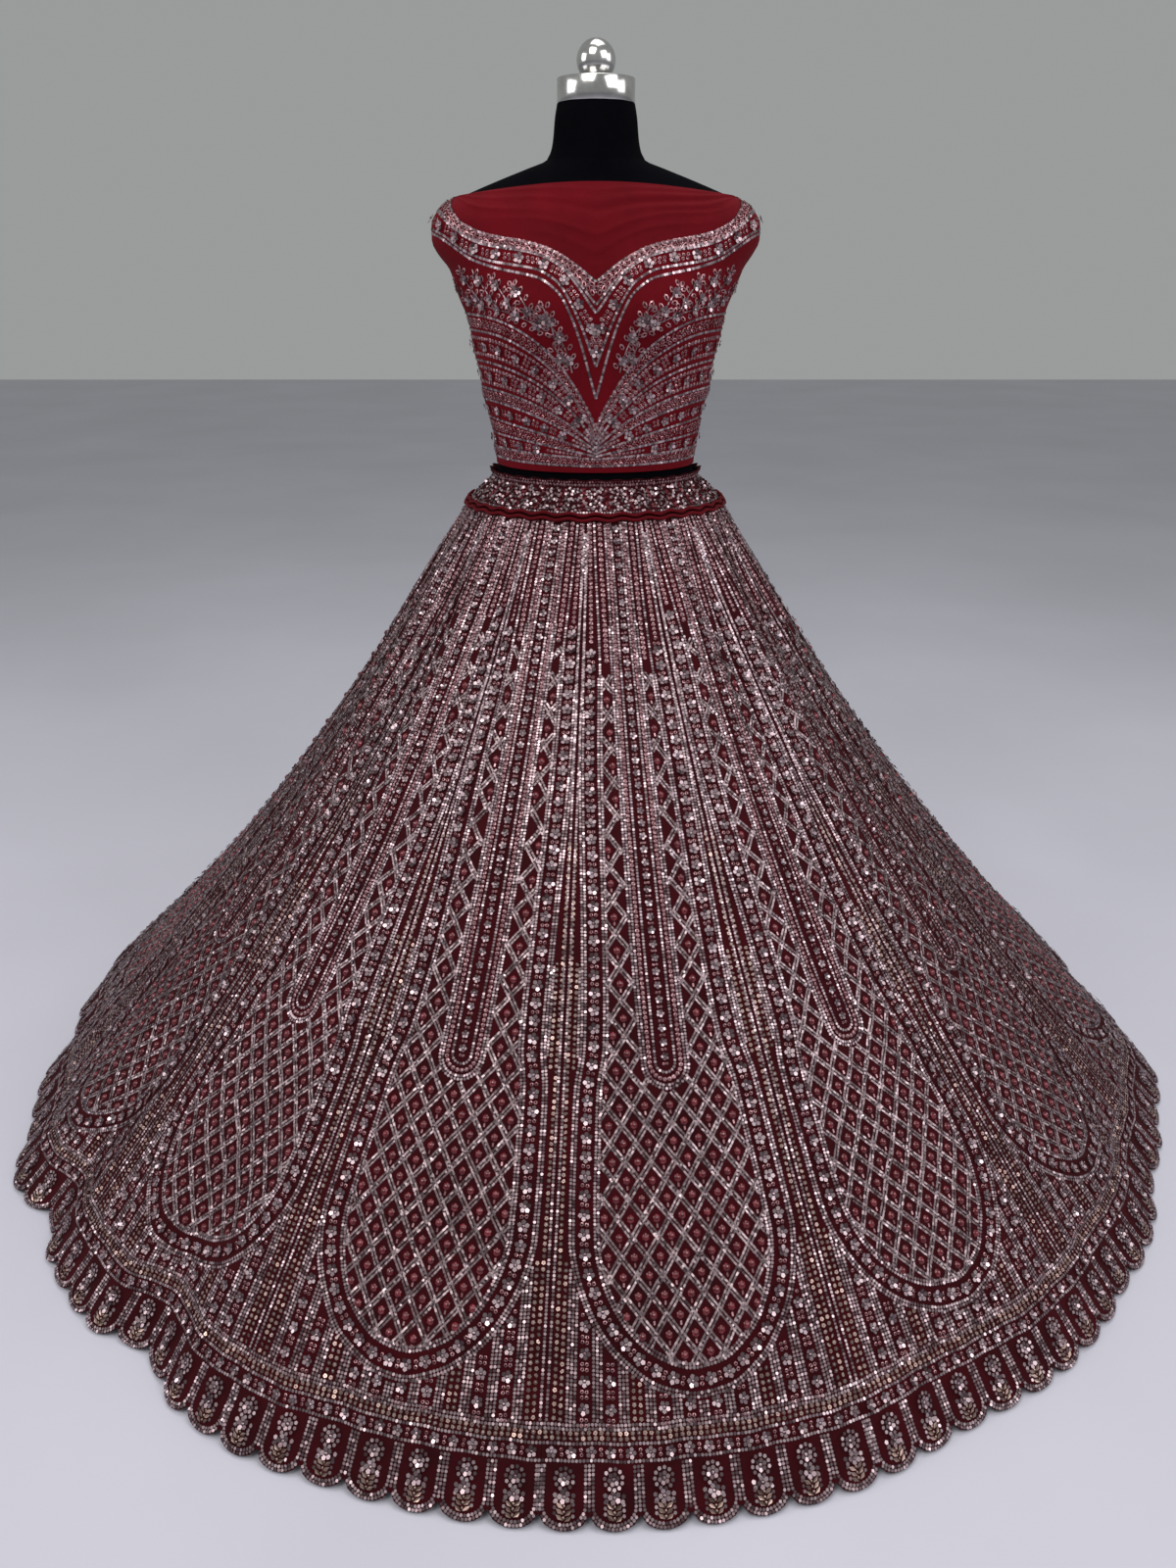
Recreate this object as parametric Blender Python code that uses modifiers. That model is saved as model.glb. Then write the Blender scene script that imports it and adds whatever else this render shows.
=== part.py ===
"""A lehenga choli on a limbless dress form, at its real size in metres, with +Z up.

The front of the garment faces -Y. Every azimuth is in degrees, 0 at the front and growing toward +X.
The origin is the centre of the stand's foot, on the floor.
"""

import math

import bpy
from mathutils import Vector

# Skirt, from the seam under its waistband down to the scalloped hem
SKIRT_TOP_Z = 0.8859
HEM_Z = 0.0035
WAIST_RADIUS = 0.1765
HEM_RADIUS = 0.892
FLARE_BEND = -0.2764
WAIST_DEPTH_RATIO = 0.79
ROUND_BY_DROP = 0.45
SKIRT_WALL = 0.0028
KALI_COUNT = 15
KALI_TURN = 360.0 / KALI_COUNT
FIRST_KALI_CENTRE = 8.0
KALI_COLUMNS = 5
KALI_DROPS = (0.0, 0.05, 0.12, 0.22, 0.34, 0.47, 0.60, 0.73, 0.84, 0.915)
BORDER_DROP = 0.935
TABS_PER_KALI = 7
COLUMNS_PER_TAB = 4
NOTCH_DROP = 0.0135
SEAM_GAP = 0.0003

# Soft flutes that start in the gathers and fade on the way down
FLUTE_COUNT = 15
FLUTE_DEPTH = 0.0065
FLUTE_FULL_BY = 0.12
FLUTE_GONE_BY = 0.62
FLUTE_TURN = 40.0
UNEVEN_SHARE = 0.25

# Folds of the hem: azimuth of the middle, reach to each side in degrees, rise in metres (a trough is
# below zero) and the drop where the fold starts
FOLD_COLUMNS = ("azimuth", "reach", "rise", "start")
HEM_FOLDS = (
    (-172.0, 8.0, 0.016, 0.55),
    (-156.0, 7.0, -0.018, 0.60),
    (-138.0, 8.0, 0.020, 0.50),
    (-121.0, 7.0, -0.020, 0.60),
    (-104.0, 8.0, 0.018, 0.50),
    (-86.0, 7.0, -0.018, 0.60),
    (-65.0, 6.5, 0.018, 0.52),
    (-57.5, 4.5, -0.018, 0.62),
    (-38.5, 6.5, -0.025, 0.62),
    (-26.0, 8.0, 0.006, 0.60),
    (28.0, 11.0, -0.011, 0.62),
    (49.0, 5.0, -0.005, 0.60),
    (63.5, 6.0, -0.011, 0.55),
    (80.0, 8.0, 0.018, 0.50),
    (96.0, 7.0, -0.018, 0.60),
    (112.0, 8.0, 0.020, 0.50),
    (130.0, 7.0, -0.018, 0.60),
    (147.0, 8.0, 0.018, 0.55),
    (164.0, 7.0, -0.016, 0.60),
)

# Gathered waistband: rings from its ruffled top edge down to the seam
RING_COLUMNS = ("z", "half_width", "gather", "wave")
WAISTBAND_RINGS = (
    (0.9285, 0.1455, 0.0022, 0.0012),
    (0.9200, 0.1424, 0.0004, 0.0),
    (0.9065, 0.1545, 0.0032, 0.0),
    (0.8862, 0.1765, 0.0, 0.0),
)
GATHER_COUNT = 32
COLUMNS_PER_GATHER = 4

# Double piping over the seam
PIPING_RADIUS = 0.0024
PIPING_CLEARANCE = 0.0006
PIPING_WAVE = 0.0014
UPPER_PIPING_Z = 0.8890
LOWER_PIPING_Z = 0.8829

# Level sections of the dress form: height, half width, depth to the front and to the back, and the power
# that squares the section (1 is an ellipse)
SECTION_COLUMNS = ("z", "half_width", "front", "back", "power")
FORM_SECTIONS = (
    (0.660, 0.1400, 0.0900, 0.0980, 0.92),
    (0.668, 0.1500, 0.0980, 0.1060, 0.92),
    (0.760, 0.1600, 0.1080, 0.1240, 0.92),
    (0.850, 0.1500, 0.1080, 0.1180, 0.94),
    (0.893, 0.1438, 0.1085, 0.1110, 0.98),
    (0.912, 0.1409, 0.1104, 0.1104, 1.00),
    (0.930, 0.1342, 0.1040, 0.1010, 0.97),
    (0.957, 0.1347, 0.1045, 0.0985, 0.95),
    (0.996, 0.1414, 0.1070, 0.1000, 0.92),
    (1.034, 0.1493, 0.1085, 0.1030, 0.90),
    (1.072, 0.1565, 0.1090, 0.1060, 0.89),
    (1.109, 0.1634, 0.1085, 0.1085, 0.88),
    (1.145, 0.1742, 0.1070, 0.1100, 0.87),
    (1.181, 0.1879, 0.1025, 0.1105, 0.87),
    (1.200, 0.2015, 0.0990, 0.1095, 0.87),
    (1.216, 0.2082, 0.0955, 0.1070, 0.87),
    (1.233, 0.2081, 0.0915, 0.1035, 0.87),
    (1.249, 0.1985, 0.0850, 0.0985, 0.88),
    (1.262, 0.1790, 0.0780, 0.0920, 0.90),
    (1.272, 0.1550, 0.0715, 0.0860, 0.92),
    (1.285, 0.1210, 0.0630, 0.0785, 0.95),
    (1.298, 0.0850, 0.0575, 0.0690, 0.98),
    (1.306, 0.0640, 0.0555, 0.0610, 1.00),
    (1.318, 0.0565, 0.0535, 0.0550, 1.00),
    (1.330, 0.0540, 0.0530, 0.0530, 1.00),
    (1.354, 0.0514, 0.0514, 0.0514, 1.00),
    (1.369, 0.0486, 0.0486, 0.0486, 1.00),
)
FORM_COLUMNS = 36
FORM_LOW_ROWS = (0.660, 0.668, 0.760, 0.850, 0.893, 0.912, 0.930)
FORM_CHEST_ROWS = 17
FORM_CHEST_TOP = 1.262
FORM_HIGH_ROWS = (1.272, 1.285, 1.298, 1.306, 1.318, 1.330, 1.354, 1.369)
BUST_X = 0.083
BUST_Z = 1.138
BUST_REACH_X = 0.052
BUST_REACH_Z = 0.060
FORM_BUST = 0.019
CLOTH_BUST = 0.023
BUST_FADE = 0.35
SHARP_ANGLE = math.radians(50.0)

# Choli, a close wrap of cloth just off the form
CHOLI_HEM_Z = 0.937
CHOLI_TOP_Z = 1.264
CHOLI_WALL = 0.0016
CHOLI_LIFT = 0.0034
CHOLI_HEM_LIFT = 0.0024
LIFT_FULL_AFTER = 0.03
CHOLI_SHARES = (0.0, 0.04, 0.08, 0.12, 0.18, 0.26, 0.35, 0.45, 0.56, 0.68, 0.80, 0.91, 1.0)
FRONT_COLUMNS = 24
BACK_COLUMNS = 12
PLACKET_COLUMNS = 2
SIDE_AZIMUTH = 90.0
PLACKET_AZIMUTH = 177.6
SEAM_TURN = 0.035
NECK_COLUMNS = ("azimuth", "z")
NECKLINE = (
    (0.0, 1.1690),
    (4.0, 1.1820),
    (8.7, 1.1945),
    (15.7, 1.2065),
    (22.8, 1.2130),
    (30.0, 1.2170),
    (40.0, 1.2235),
    (50.0, 1.2345),
    (60.0, 1.2470),
    (72.0, 1.2575),
    (90.0, 1.2640),
)
NECK_SEAM = 0.0002
YOKE_INSET_COLUMNS = 2
YOKE_ROWS = 8
YOKE_SIDE_Z = 1.2655
YOKE_CREST = 0.0145
YOKE_CREASES = 4.0
YOKE_CREASE_RISE = 0.0011
YOKE_CREASE_BOW = 0.4
YOKE_CREASE_FADE = 0.25

# Collar, finial and stand
COLLAR_RADIUS = 0.0486
COLLAR_BOTTOM_Z = 1.3693
COLLAR_TOP_Z = 1.3970
COLLAR_EDGE = 0.0015
FINIAL_RADIUS = 0.0242
FINIAL_TOP_Z = 1.4400
FINIAL_ARC_POINTS = 9
POLE_RADIUS = 0.0175
BASE_RADIUS = 0.155
BASE_EDGE_RADIUS = 0.135
BASE_RIM_Z = 0.006
BASE_TOP_Z = 0.012
CAP_STEPS = 32
FINIAL_STEPS = 20
BASE_STEPS = 48

LOOKS = {
    "maroon_embroidered": {"color": (0.150, 0.012, 0.024), "roughness": 0.62, "metallic": 0.0},
    "maroon_plain": {"color": (0.235, 0.010, 0.018), "roughness": 0.70, "metallic": 0.0},
    "maroon_piping": {"color": (0.220, 0.009, 0.016), "roughness": 0.60, "metallic": 0.0},
    "black_form_cloth": {"color": (0.012, 0.012, 0.015), "roughness": 0.75, "metallic": 0.0},
    "chrome": {"color": (0.62, 0.62, 0.63), "roughness": 0.18, "metallic": 1.0},
    "stand_metal": {"color": (0.030, 0.030, 0.032), "roughness": 0.40, "metallic": 1.0},
}


def clear_scene():
    for scene_object in list(bpy.data.objects):
        bpy.data.objects.remove(scene_object, do_unlink=True)


def principled(name):
    """One Principled material for each look in the table."""
    if name in bpy.data.materials:
        return bpy.data.materials[name]
    look = LOOKS[name]
    material = bpy.data.materials.new(name)
    material.use_nodes = True
    shader = material.node_tree.nodes["Principled BSDF"]
    shader.inputs["Base Color"].default_value = (*look["color"], 1.0)
    shader.inputs["Roughness"].default_value = look["roughness"]
    shader.inputs["Metallic"].default_value = look["metallic"]
    return material


def add_object(name, data, look, collection):
    model = bpy.data.objects.new(name, data)
    collection.objects.link(model)
    data.materials.append(principled(look))
    return model


def ease(share):
    """A soft step from 0 to 1."""
    share = min(max(share, 0.0), 1.0)
    return share * share * (3.0 - 2.0 * share)


def smooth_column(table, columns, key, name, place):
    """Reads a table's column at a place, on a smooth curve through its rows."""
    keys = [row[columns.index(key)] for row in table]
    values = [row[columns.index(name)] for row in table]
    place = min(max(place, keys[0]), keys[-1])
    last = len(keys) - 2
    row = min(max(sum(1 for edge in keys if edge <= place) - 1, 0), last)
    width = keys[row + 1] - keys[row]
    slope = (values[row + 1] - values[row]) / width
    slopes = []
    for end in (row, row + 1):
        before = (values[end] - values[end - 1]) / (keys[end] - keys[end - 1]) if end > 0 else slope
        after = (values[end + 1] - values[end]) / (keys[end + 1] - keys[end]) if end <= last else slope
        bend = 2.0 * before * after / (before + after) if before * after > 0.0 else 0.0
        slopes.append(bend)
    t = (place - keys[row]) / width
    start = (1.0 + 2.0 * t) * (1.0 - t) ** 2 * values[row]
    end = t * t * (3.0 - 2.0 * t) * values[row + 1]
    leave = t * (1.0 - t) ** 2 * width * slopes[0]
    arrive = t * t * (t - 1.0) * width * slopes[1]
    return start + end + leave + arrive


def uneven(azimuth, waves):
    """A slow change in depth round the garment, so repeated folds aren't alike."""
    return 1.0 - UNEVEN_SHARE * (0.5 + 0.5 * math.sin(math.radians(waves * azimuth)))


def skirt_radius(drop):
    return WAIST_RADIUS + (HEM_RADIUS - WAIST_RADIUS) * (drop + FLARE_BEND * drop * (1.0 - drop))


def flute(azimuth, drop):
    """The rise of the soft flutes that fall from the gathers."""
    grown = ease(drop / FLUTE_FULL_BY)
    left = 1.0 - ease((drop - FLUTE_FULL_BY) / (FLUTE_GONE_BY - FLUTE_FULL_BY))
    depth = FLUTE_DEPTH * uneven(azimuth, 5.0)
    return depth * grown * left * math.sin(math.radians(FLUTE_COUNT * azimuth + FLUTE_TURN))


def hem_fold(azimuth, drop):
    """The rise of the large folds toward the hem."""
    rise = 0.0
    for row in HEM_FOLDS:
        fold = dict(zip(FOLD_COLUMNS, row))
        away = (azimuth - fold["azimuth"] + 180.0) % 360.0 - 180.0
        if abs(away) < fold["reach"]:
            crest = 0.5 + 0.5 * math.cos(math.pi * away / fold["reach"])
            rise += fold["rise"] * crest * ease((drop - fold["start"]) / (1.0 - fold["start"]))
    return rise


def skirt_point(azimuth, drop):
    """Outer face of the skirt, with drop 0 at the waist seam and 1 at the hem."""
    angle = math.radians(azimuth)
    radius = skirt_radius(drop) + flute(azimuth, drop) + hem_fold(azimuth, drop)
    depth_ratio = WAIST_DEPTH_RATIO + (1.0 - WAIST_DEPTH_RATIO) * ease(drop / ROUND_BY_DROP)
    height = HEM_Z + (SKIRT_TOP_Z - HEM_Z) * (1.0 - drop)
    return Vector((radius * math.sin(angle), -radius * depth_ratio * math.cos(angle), height))


def level_normal(surface, azimuth, place):
    """The outward direction of a level ring, in plan."""
    step = 0.25
    along = surface(azimuth + step, place) - surface(azimuth - step, place)
    return Vector((along.y, -along.x, 0.0)).normalized()


def skirt_inner(azimuth, drop):
    return skirt_point(azimuth, drop) - SKIRT_WALL * level_normal(skirt_point, azimuth, drop)


def waistband_point(azimuth, height):
    """Outer face of the gathered waistband."""
    rings = WAISTBAND_RINGS[::-1]
    half_width = smooth_column(rings, RING_COLUMNS, "z", "half_width", height)
    gather = smooth_column(rings, RING_COLUMNS, "z", "gather", height)
    wave = smooth_column(rings, RING_COLUMNS, "z", "wave", height)
    angle = math.radians(azimuth)
    pleat = uneven(azimuth, 3.0) * math.cos(GATHER_COUNT * angle)
    radius = half_width + gather * pleat
    x = radius * math.sin(angle)
    y = -radius * WAIST_DEPTH_RATIO * math.cos(angle)
    return Vector((x, y, height + wave * pleat))


def waistband_inner(azimuth, height):
    return waistband_point(azimuth, height) - SKIRT_WALL * level_normal(waistband_point, azimuth, height)


def body_section_point(azimuth, z, bust):
    """A point on the smooth figure that both the form and the choli follow."""
    half_width, front, back, power = (
        smooth_column(FORM_SECTIONS, SECTION_COLUMNS, "z", name, z) for name in SECTION_COLUMNS[1:]
    )
    angle = math.radians(azimuth)
    side, ahead = math.sin(angle), math.cos(angle)
    x = math.copysign(half_width * abs(side) ** power, side)
    depth = front if ahead > 0.0 else back
    y = -math.copysign(depth * abs(ahead) ** power, ahead)
    if ahead > 0.0:
        across = (abs(x) - BUST_X) / BUST_REACH_X
        up = (z - BUST_Z) / BUST_REACH_Z
        y -= bust * math.exp(-across * across - up * up) * ease(ahead / BUST_FADE)
    return Vector((x, y, z))


def form_point(azimuth, z):
    return body_section_point(azimuth, z, FORM_BUST)


def cloth_figure_point(azimuth, z):
    return body_section_point(azimuth, z, CLOTH_BUST)


def cloth_normal(azimuth, z):
    """The outward direction of the figure under the choli."""
    turn_step, z_step = 0.5, 0.001
    across = cloth_figure_point(azimuth + turn_step, z) - cloth_figure_point(azimuth - turn_step, z)
    up = cloth_figure_point(azimuth, z + z_step) - cloth_figure_point(azimuth, z - z_step)
    return across.cross(up).normalized()


def choli_lift(z):
    """How far the choli's outer face stands off the figure."""
    return CHOLI_HEM_LIFT + (CHOLI_LIFT - CHOLI_HEM_LIFT) * ease((z - CHOLI_HEM_Z) / LIFT_FULL_AFTER)


def choli_point(azimuth, z):
    return cloth_figure_point(azimuth, z) + choli_lift(z) * cloth_normal(azimuth, z)


def choli_inner(azimuth, z):
    return cloth_figure_point(azimuth, z) + (choli_lift(z) - CHOLI_WALL) * cloth_normal(azimuth, z)


def yoke_crease(azimuth, z):
    """Soft level drag folds across the plain yoke, gone at its edges."""
    share = (z - neckline_z(azimuth)) / (yoke_top_z(azimuth) - neckline_z(azimuth))
    bow = YOKE_CREASE_BOW * math.cos(math.radians(azimuth))
    hold = ease(share / YOKE_CREASE_FADE) * ease((1.0 - share) / YOKE_CREASE_FADE)
    return YOKE_CREASE_RISE * hold * math.sin(2.0 * math.pi * (YOKE_CREASES * share + bow))


def yoke_point(azimuth, z):
    return choli_point(azimuth, z) + yoke_crease(azimuth, z) * cloth_normal(azimuth, z)


def yoke_inner(azimuth, z):
    return choli_inner(azimuth, z) + max(yoke_crease(azimuth, z), 0.0) * cloth_normal(azimuth, z)


def neckline_z(azimuth):
    return smooth_column(NECKLINE, NECK_COLUMNS, "azimuth", "z", abs(azimuth))


def yoke_top_z(azimuth):
    return YOKE_SIDE_Z + YOKE_CREST * math.cos(math.radians(azimuth)) ** 2


def even_steps(start, end, count):
    return [start + (end - start) * step / count for step in range(count + 1)]


def stitch_rows(upper, lower):
    """Faces between two rows of point numbers, which may hold different numbers of points."""
    if len(upper) == len(lower):
        return [
            (upper[column], lower[column], lower[column + 1], upper[column + 1])
            for column in range(len(upper) - 1)
        ]
    faces = []
    high, low = 0, 0
    while high < len(upper) - 1 or low < len(lower) - 1:
        high_share = (high + 1) / (len(upper) - 1)
        low_share = (low + 1) / (len(lower) - 1)
        if low_share <= high_share and low < len(lower) - 1:
            faces.append((upper[high], lower[low], lower[low + 1]))
            low += 1
        else:
            faces.append((upper[high], lower[low], upper[high + 1]))
            high += 1
    return faces


def rim_faces(sheet_faces, offset):
    """Quads that join the free edges of the outer sheet to those of the inner one."""
    edges = set()
    for face in sheet_faces:
        edges.update(zip(face, face[1:] + face[:1]))
    free = [edge for edge in sorted(edges) if (edge[1], edge[0]) not in edges]
    return [(end, start, start + offset, end + offset) for start, end in free]


def cloth_wall(name, look, rows, outer, inner, collection):
    """A closed wall of cloth: rows of (azimuth, place) pairs run down it, each from low azimuth to high.

    Its thickness follows the surface's own direction and not the mesh's, so two walls that meet at a seam
    keep the same gap right through.
    """
    places = [place for row in rows for place in row]
    numbers = []
    first = 0
    for row in rows:
        numbers.append(list(range(first, first + len(row))))
        first += len(row)
    sheet = []
    for upper, lower in zip(numbers, numbers[1:]):
        sheet.extend(stitch_rows(upper, lower))
    points = [outer(*place) for place in places] + [inner(*place) for place in places]
    lining = [tuple(number + len(places) for number in reversed(face)) for face in sheet]
    mesh = bpy.data.meshes.new(name)
    mesh.from_pydata(points, [], sheet + lining + rim_faces(sheet, len(places)))
    mesh.shade_smooth()
    mesh.set_sharp_from_angle(angle=SHARP_ANGLE)
    return add_object(name, mesh, look, collection)


def scallop(share):
    """How far the hem's edge rises at a share of a tab's half width from its middle."""
    return NOTCH_DROP * (1.0 - math.sqrt(1.0 - (0.985 * share) ** 2))


def kali_rows(centre):
    """Rows of one flared panel, which opens into its scalloped tabs at the border."""
    rows = []
    for drop in KALI_DROPS:
        half = kali_half_turn(drop)
        rows.append([(azimuth, drop) for azimuth in even_steps(centre - half, centre + half, KALI_COLUMNS)])
    tab_columns = TABS_PER_KALI * COLUMNS_PER_TAB
    for edge in (False, True):
        half = kali_half_turn(1.0)
        row = []
        for column, azimuth in enumerate(even_steps(centre - half, centre + half, tab_columns)):
            share = (column % COLUMNS_PER_TAB) / COLUMNS_PER_TAB * 2.0 - 1.0
            row.append((azimuth, 1.0 - scallop(share) if edge else BORDER_DROP))
        rows.append(row)
    return rows


def kali_half_turn(drop):
    """Half of a panel's angle, less half of the seam."""
    return 0.5 * KALI_TURN - math.degrees(0.5 * SEAM_GAP / (WAIST_DEPTH_RATIO * skirt_radius(drop)))


def build_skirt(collection):
    for number in range(KALI_COUNT):
        centre = FIRST_KALI_CENTRE + KALI_TURN * (number - KALI_COUNT // 2)
        name = f"kali_{number + 1:02d}"
        cloth_wall(name, "maroon_embroidered", kali_rows(centre), skirt_point, skirt_inner, collection)


def build_waistband(collection):
    half_gap = math.degrees(0.5 * SEAM_GAP / (WAIST_DEPTH_RATIO * WAIST_RADIUS))
    columns = GATHER_COUNT * COLUMNS_PER_GATHER // 2
    for name, middle in (("waistband_front", 0.0), ("waistband_back", 180.0)):
        azimuths = even_steps(middle - 90.0, middle + 90.0, columns)
        azimuths[0] += half_gap
        azimuths[-1] -= half_gap
        rows = [[(azimuth, ring[0]) for azimuth in azimuths] for ring in WAISTBAND_RINGS]
        cloth_wall(name, "maroon_embroidered", rows, waistband_point, waistband_inner, collection)


def piping_ring(name, surface, place_of, collection):
    """A ring of piping on the surface that it is sewn over, moved out by its own radius."""
    curve = bpy.data.curves.new(name, "CURVE")
    curve.dimensions = "3D"
    curve.bevel_depth = PIPING_RADIUS
    curve.bevel_resolution = 1
    spline = curve.splines.new("POLY")
    count = 2 * GATHER_COUNT
    spline.points.add(count - 1)
    for number in range(count):
        azimuth = number * 360.0 / count
        wave = PIPING_WAVE * math.cos(math.radians(GATHER_COUNT * azimuth))
        place = place_of(wave)
        outward = level_normal(surface, azimuth, place)
        seat = surface(azimuth, place)
        spread = surface_slope_spread(surface, azimuth, place)
        centre = seat + outward * (PIPING_RADIUS + PIPING_CLEARANCE) * spread
        spline.points[number].co = (*centre, 1.0)
    spline.use_cyclic_u = True
    return add_object(name, curve, "maroon_piping", collection)


def surface_slope_spread(surface, azimuth, place):
    """How much further out a level move must go to clear a face that leans."""
    step = 0.001
    low = surface(azimuth, place - step)
    high = surface(azimuth, place + step)
    along = high - low
    level = math.hypot(along.x, along.y)
    return math.hypot(level, along.z) / abs(along.z)


def build_piping(collection):
    def drop_at(height):
        return 1.0 - (height - HEM_Z) / (SKIRT_TOP_Z - HEM_Z)

    piping_ring("waist_piping_upper", waistband_point, lambda wave: UPPER_PIPING_Z + wave, collection)
    piping_ring("waist_piping_lower", skirt_point, lambda wave: drop_at(LOWER_PIPING_Z + wave), collection)


def choli_rows(azimuths, top_of):
    """Rows from each column's own top edge down to the level hem."""
    rows = []
    for share in CHOLI_SHARES:
        row = []
        for azimuth in azimuths:
            top = top_of(azimuth)
            row.append((azimuth, top + (CHOLI_HEM_Z - top) * share))
        rows.append(row)
    return rows


def build_choli(collection):
    reach = SIDE_AZIMUTH - SEAM_TURN
    across = even_steps(-reach, reach, FRONT_COLUMNS)
    front = choli_rows(across, lambda azimuth: neckline_z(azimuth) - NECK_SEAM)
    cloth_wall("choli_front", "maroon_embroidered", front, choli_point, choli_inner, collection)

    yoke = []
    for share in even_steps(1.0, 0.0, YOKE_ROWS):
        row = []
        for azimuth in across[YOKE_INSET_COLUMNS:-YOKE_INSET_COLUMNS]:
            low = neckline_z(azimuth) + NECK_SEAM
            row.append((azimuth, low + (yoke_top_z(azimuth) - low) * share))
        yoke.append(row)
    cloth_wall("choli_yoke", "maroon_plain", yoke, yoke_point, yoke_inner, collection)

    def back_top(azimuth):
        return CHOLI_TOP_Z - NECK_SEAM

    backs = (
        ("choli_back_right", SIDE_AZIMUTH, PLACKET_AZIMUTH),
        ("choli_back_left", -PLACKET_AZIMUTH, -SIDE_AZIMUTH),
    )
    for name, start, end in backs:
        azimuths = even_steps(start + SEAM_TURN, end - SEAM_TURN, BACK_COLUMNS)
        rows = choli_rows(azimuths, back_top)
        cloth_wall(name, "maroon_plain", rows, choli_point, choli_inner, collection)
    azimuths = even_steps(PLACKET_AZIMUTH + SEAM_TURN, 360.0 - PLACKET_AZIMUTH - SEAM_TURN, PLACKET_COLUMNS)
    placket = choli_rows(azimuths, back_top)
    cloth_wall("choli_back_placket", "maroon_plain", placket, choli_point, choli_inner, collection)


def build_form(collection):
    """The torso is one loft through level sections, closed flat at its foot and at the neck."""
    chest = even_steps(FORM_LOW_ROWS[-1], FORM_CHEST_TOP, FORM_CHEST_ROWS)[1:]
    heights = [*FORM_LOW_ROWS, *chest, *FORM_HIGH_ROWS]
    points = []
    for z in heights:
        points.extend(form_point(360.0 * column / FORM_COLUMNS, z) for column in range(FORM_COLUMNS))
    faces = []
    for row in range(len(heights) - 1):
        for column in range(FORM_COLUMNS):
            beside = (column + 1) % FORM_COLUMNS
            low, high = row * FORM_COLUMNS, (row + 1) * FORM_COLUMNS
            faces.append((low + column, low + beside, high + beside, high + column))
    faces.append(tuple(reversed(range(FORM_COLUMNS))))
    faces.append(tuple(range(len(points) - FORM_COLUMNS, len(points))))
    mesh = bpy.data.meshes.new("form_torso")
    mesh.from_pydata(points, [], faces)
    mesh.shade_smooth()
    mesh.set_sharp_from_angle(angle=SHARP_ANGLE)
    add_object("form_torso", mesh, "black_form_cloth", collection)


def turned(name, look, profile, steps, collection):
    """A turned piece, from a profile of (radius, height) that runs down its outer side."""
    mesh = bpy.data.meshes.new(name)
    edges = [(number, number + 1) for number in range(len(profile) - 1)]
    mesh.from_pydata([(radius, 0.0, z) for radius, z in profile], edges, [])
    model = add_object(name, mesh, look, collection)
    screw = model.modifiers.new("Turn", "SCREW")
    screw.steps = steps
    screw.render_steps = steps
    screw.use_merge_vertices = True
    screw.merge_threshold = 0.0001
    screw.use_smooth_shade = True
    return model


def build_collar_and_finial(collection):
    inset = COLLAR_RADIUS - COLLAR_EDGE
    collar = (
        (0.0, COLLAR_TOP_Z),
        (inset, COLLAR_TOP_Z),
        (COLLAR_RADIUS, COLLAR_TOP_Z - COLLAR_EDGE),
        (COLLAR_RADIUS, COLLAR_BOTTOM_Z + COLLAR_EDGE),
        (inset, COLLAR_BOTTOM_Z),
        (0.0, COLLAR_BOTTOM_Z),
    )
    turned("neck_collar", "chrome", collar, CAP_STEPS, collection)

    centre_z = FINIAL_TOP_Z - FINIAL_RADIUS
    foot_z = COLLAR_TOP_Z + SEAM_GAP
    foot_angle = math.acos((foot_z - centre_z) / FINIAL_RADIUS)
    ball = []
    for angle in even_steps(0.0, foot_angle, FINIAL_ARC_POINTS):
        ball.append((FINIAL_RADIUS * math.sin(angle), centre_z + FINIAL_RADIUS * math.cos(angle)))
    ball.append((0.0, foot_z))
    turned("neck_finial", "chrome", ball, FINIAL_STEPS, collection)


def build_stand(collection):
    base = (
        (0.0, BASE_TOP_Z),
        (BASE_EDGE_RADIUS, BASE_TOP_Z),
        (BASE_RADIUS, BASE_RIM_Z),
        (BASE_RADIUS, 0.0),
        (0.0, 0.0),
    )
    turned("stand_base", "stand_metal", base, BASE_STEPS, collection)

    low = BASE_TOP_Z + SEAM_GAP
    high = FORM_LOW_ROWS[0] - SEAM_GAP
    bpy.ops.mesh.primitive_cylinder_add(
        vertices=24, radius=POLE_RADIUS, depth=high - low, location=(0.0, 0.0, 0.5 * (low + high))
    )
    pole = bpy.context.object
    pole.name = "stand_pole"
    for owner in list(pole.users_collection):
        owner.objects.unlink(pole)
    collection.objects.link(pole)
    pole.data.materials.append(principled("stand_metal"))
    pole.data.shade_smooth()
    pole.data.set_sharp_from_angle(angle=SHARP_ANGLE)


def main():
    clear_scene()
    collection = bpy.data.collections.new("lehenga_choli_on_form")
    bpy.context.scene.collection.children.link(collection)
    build_skirt(collection)
    build_waistband(collection)
    build_piping(collection)
    build_choli(collection)
    build_form(collection)
    build_collar_and_finial(collection)
    build_stand(collection)


main()
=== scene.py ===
"""The looks of a sequinned lehenga choli on a limbless dress form.

Metres, +Z up, the garment's front toward -Y. Azimuths are in degrees, 0 at the front and growing toward +X.
The surfaces repeat the construction's own sizes, so each shell lies on the solid that it stands for. The
yoke's top edge alone is a little lower here.
"""

import math

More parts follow.
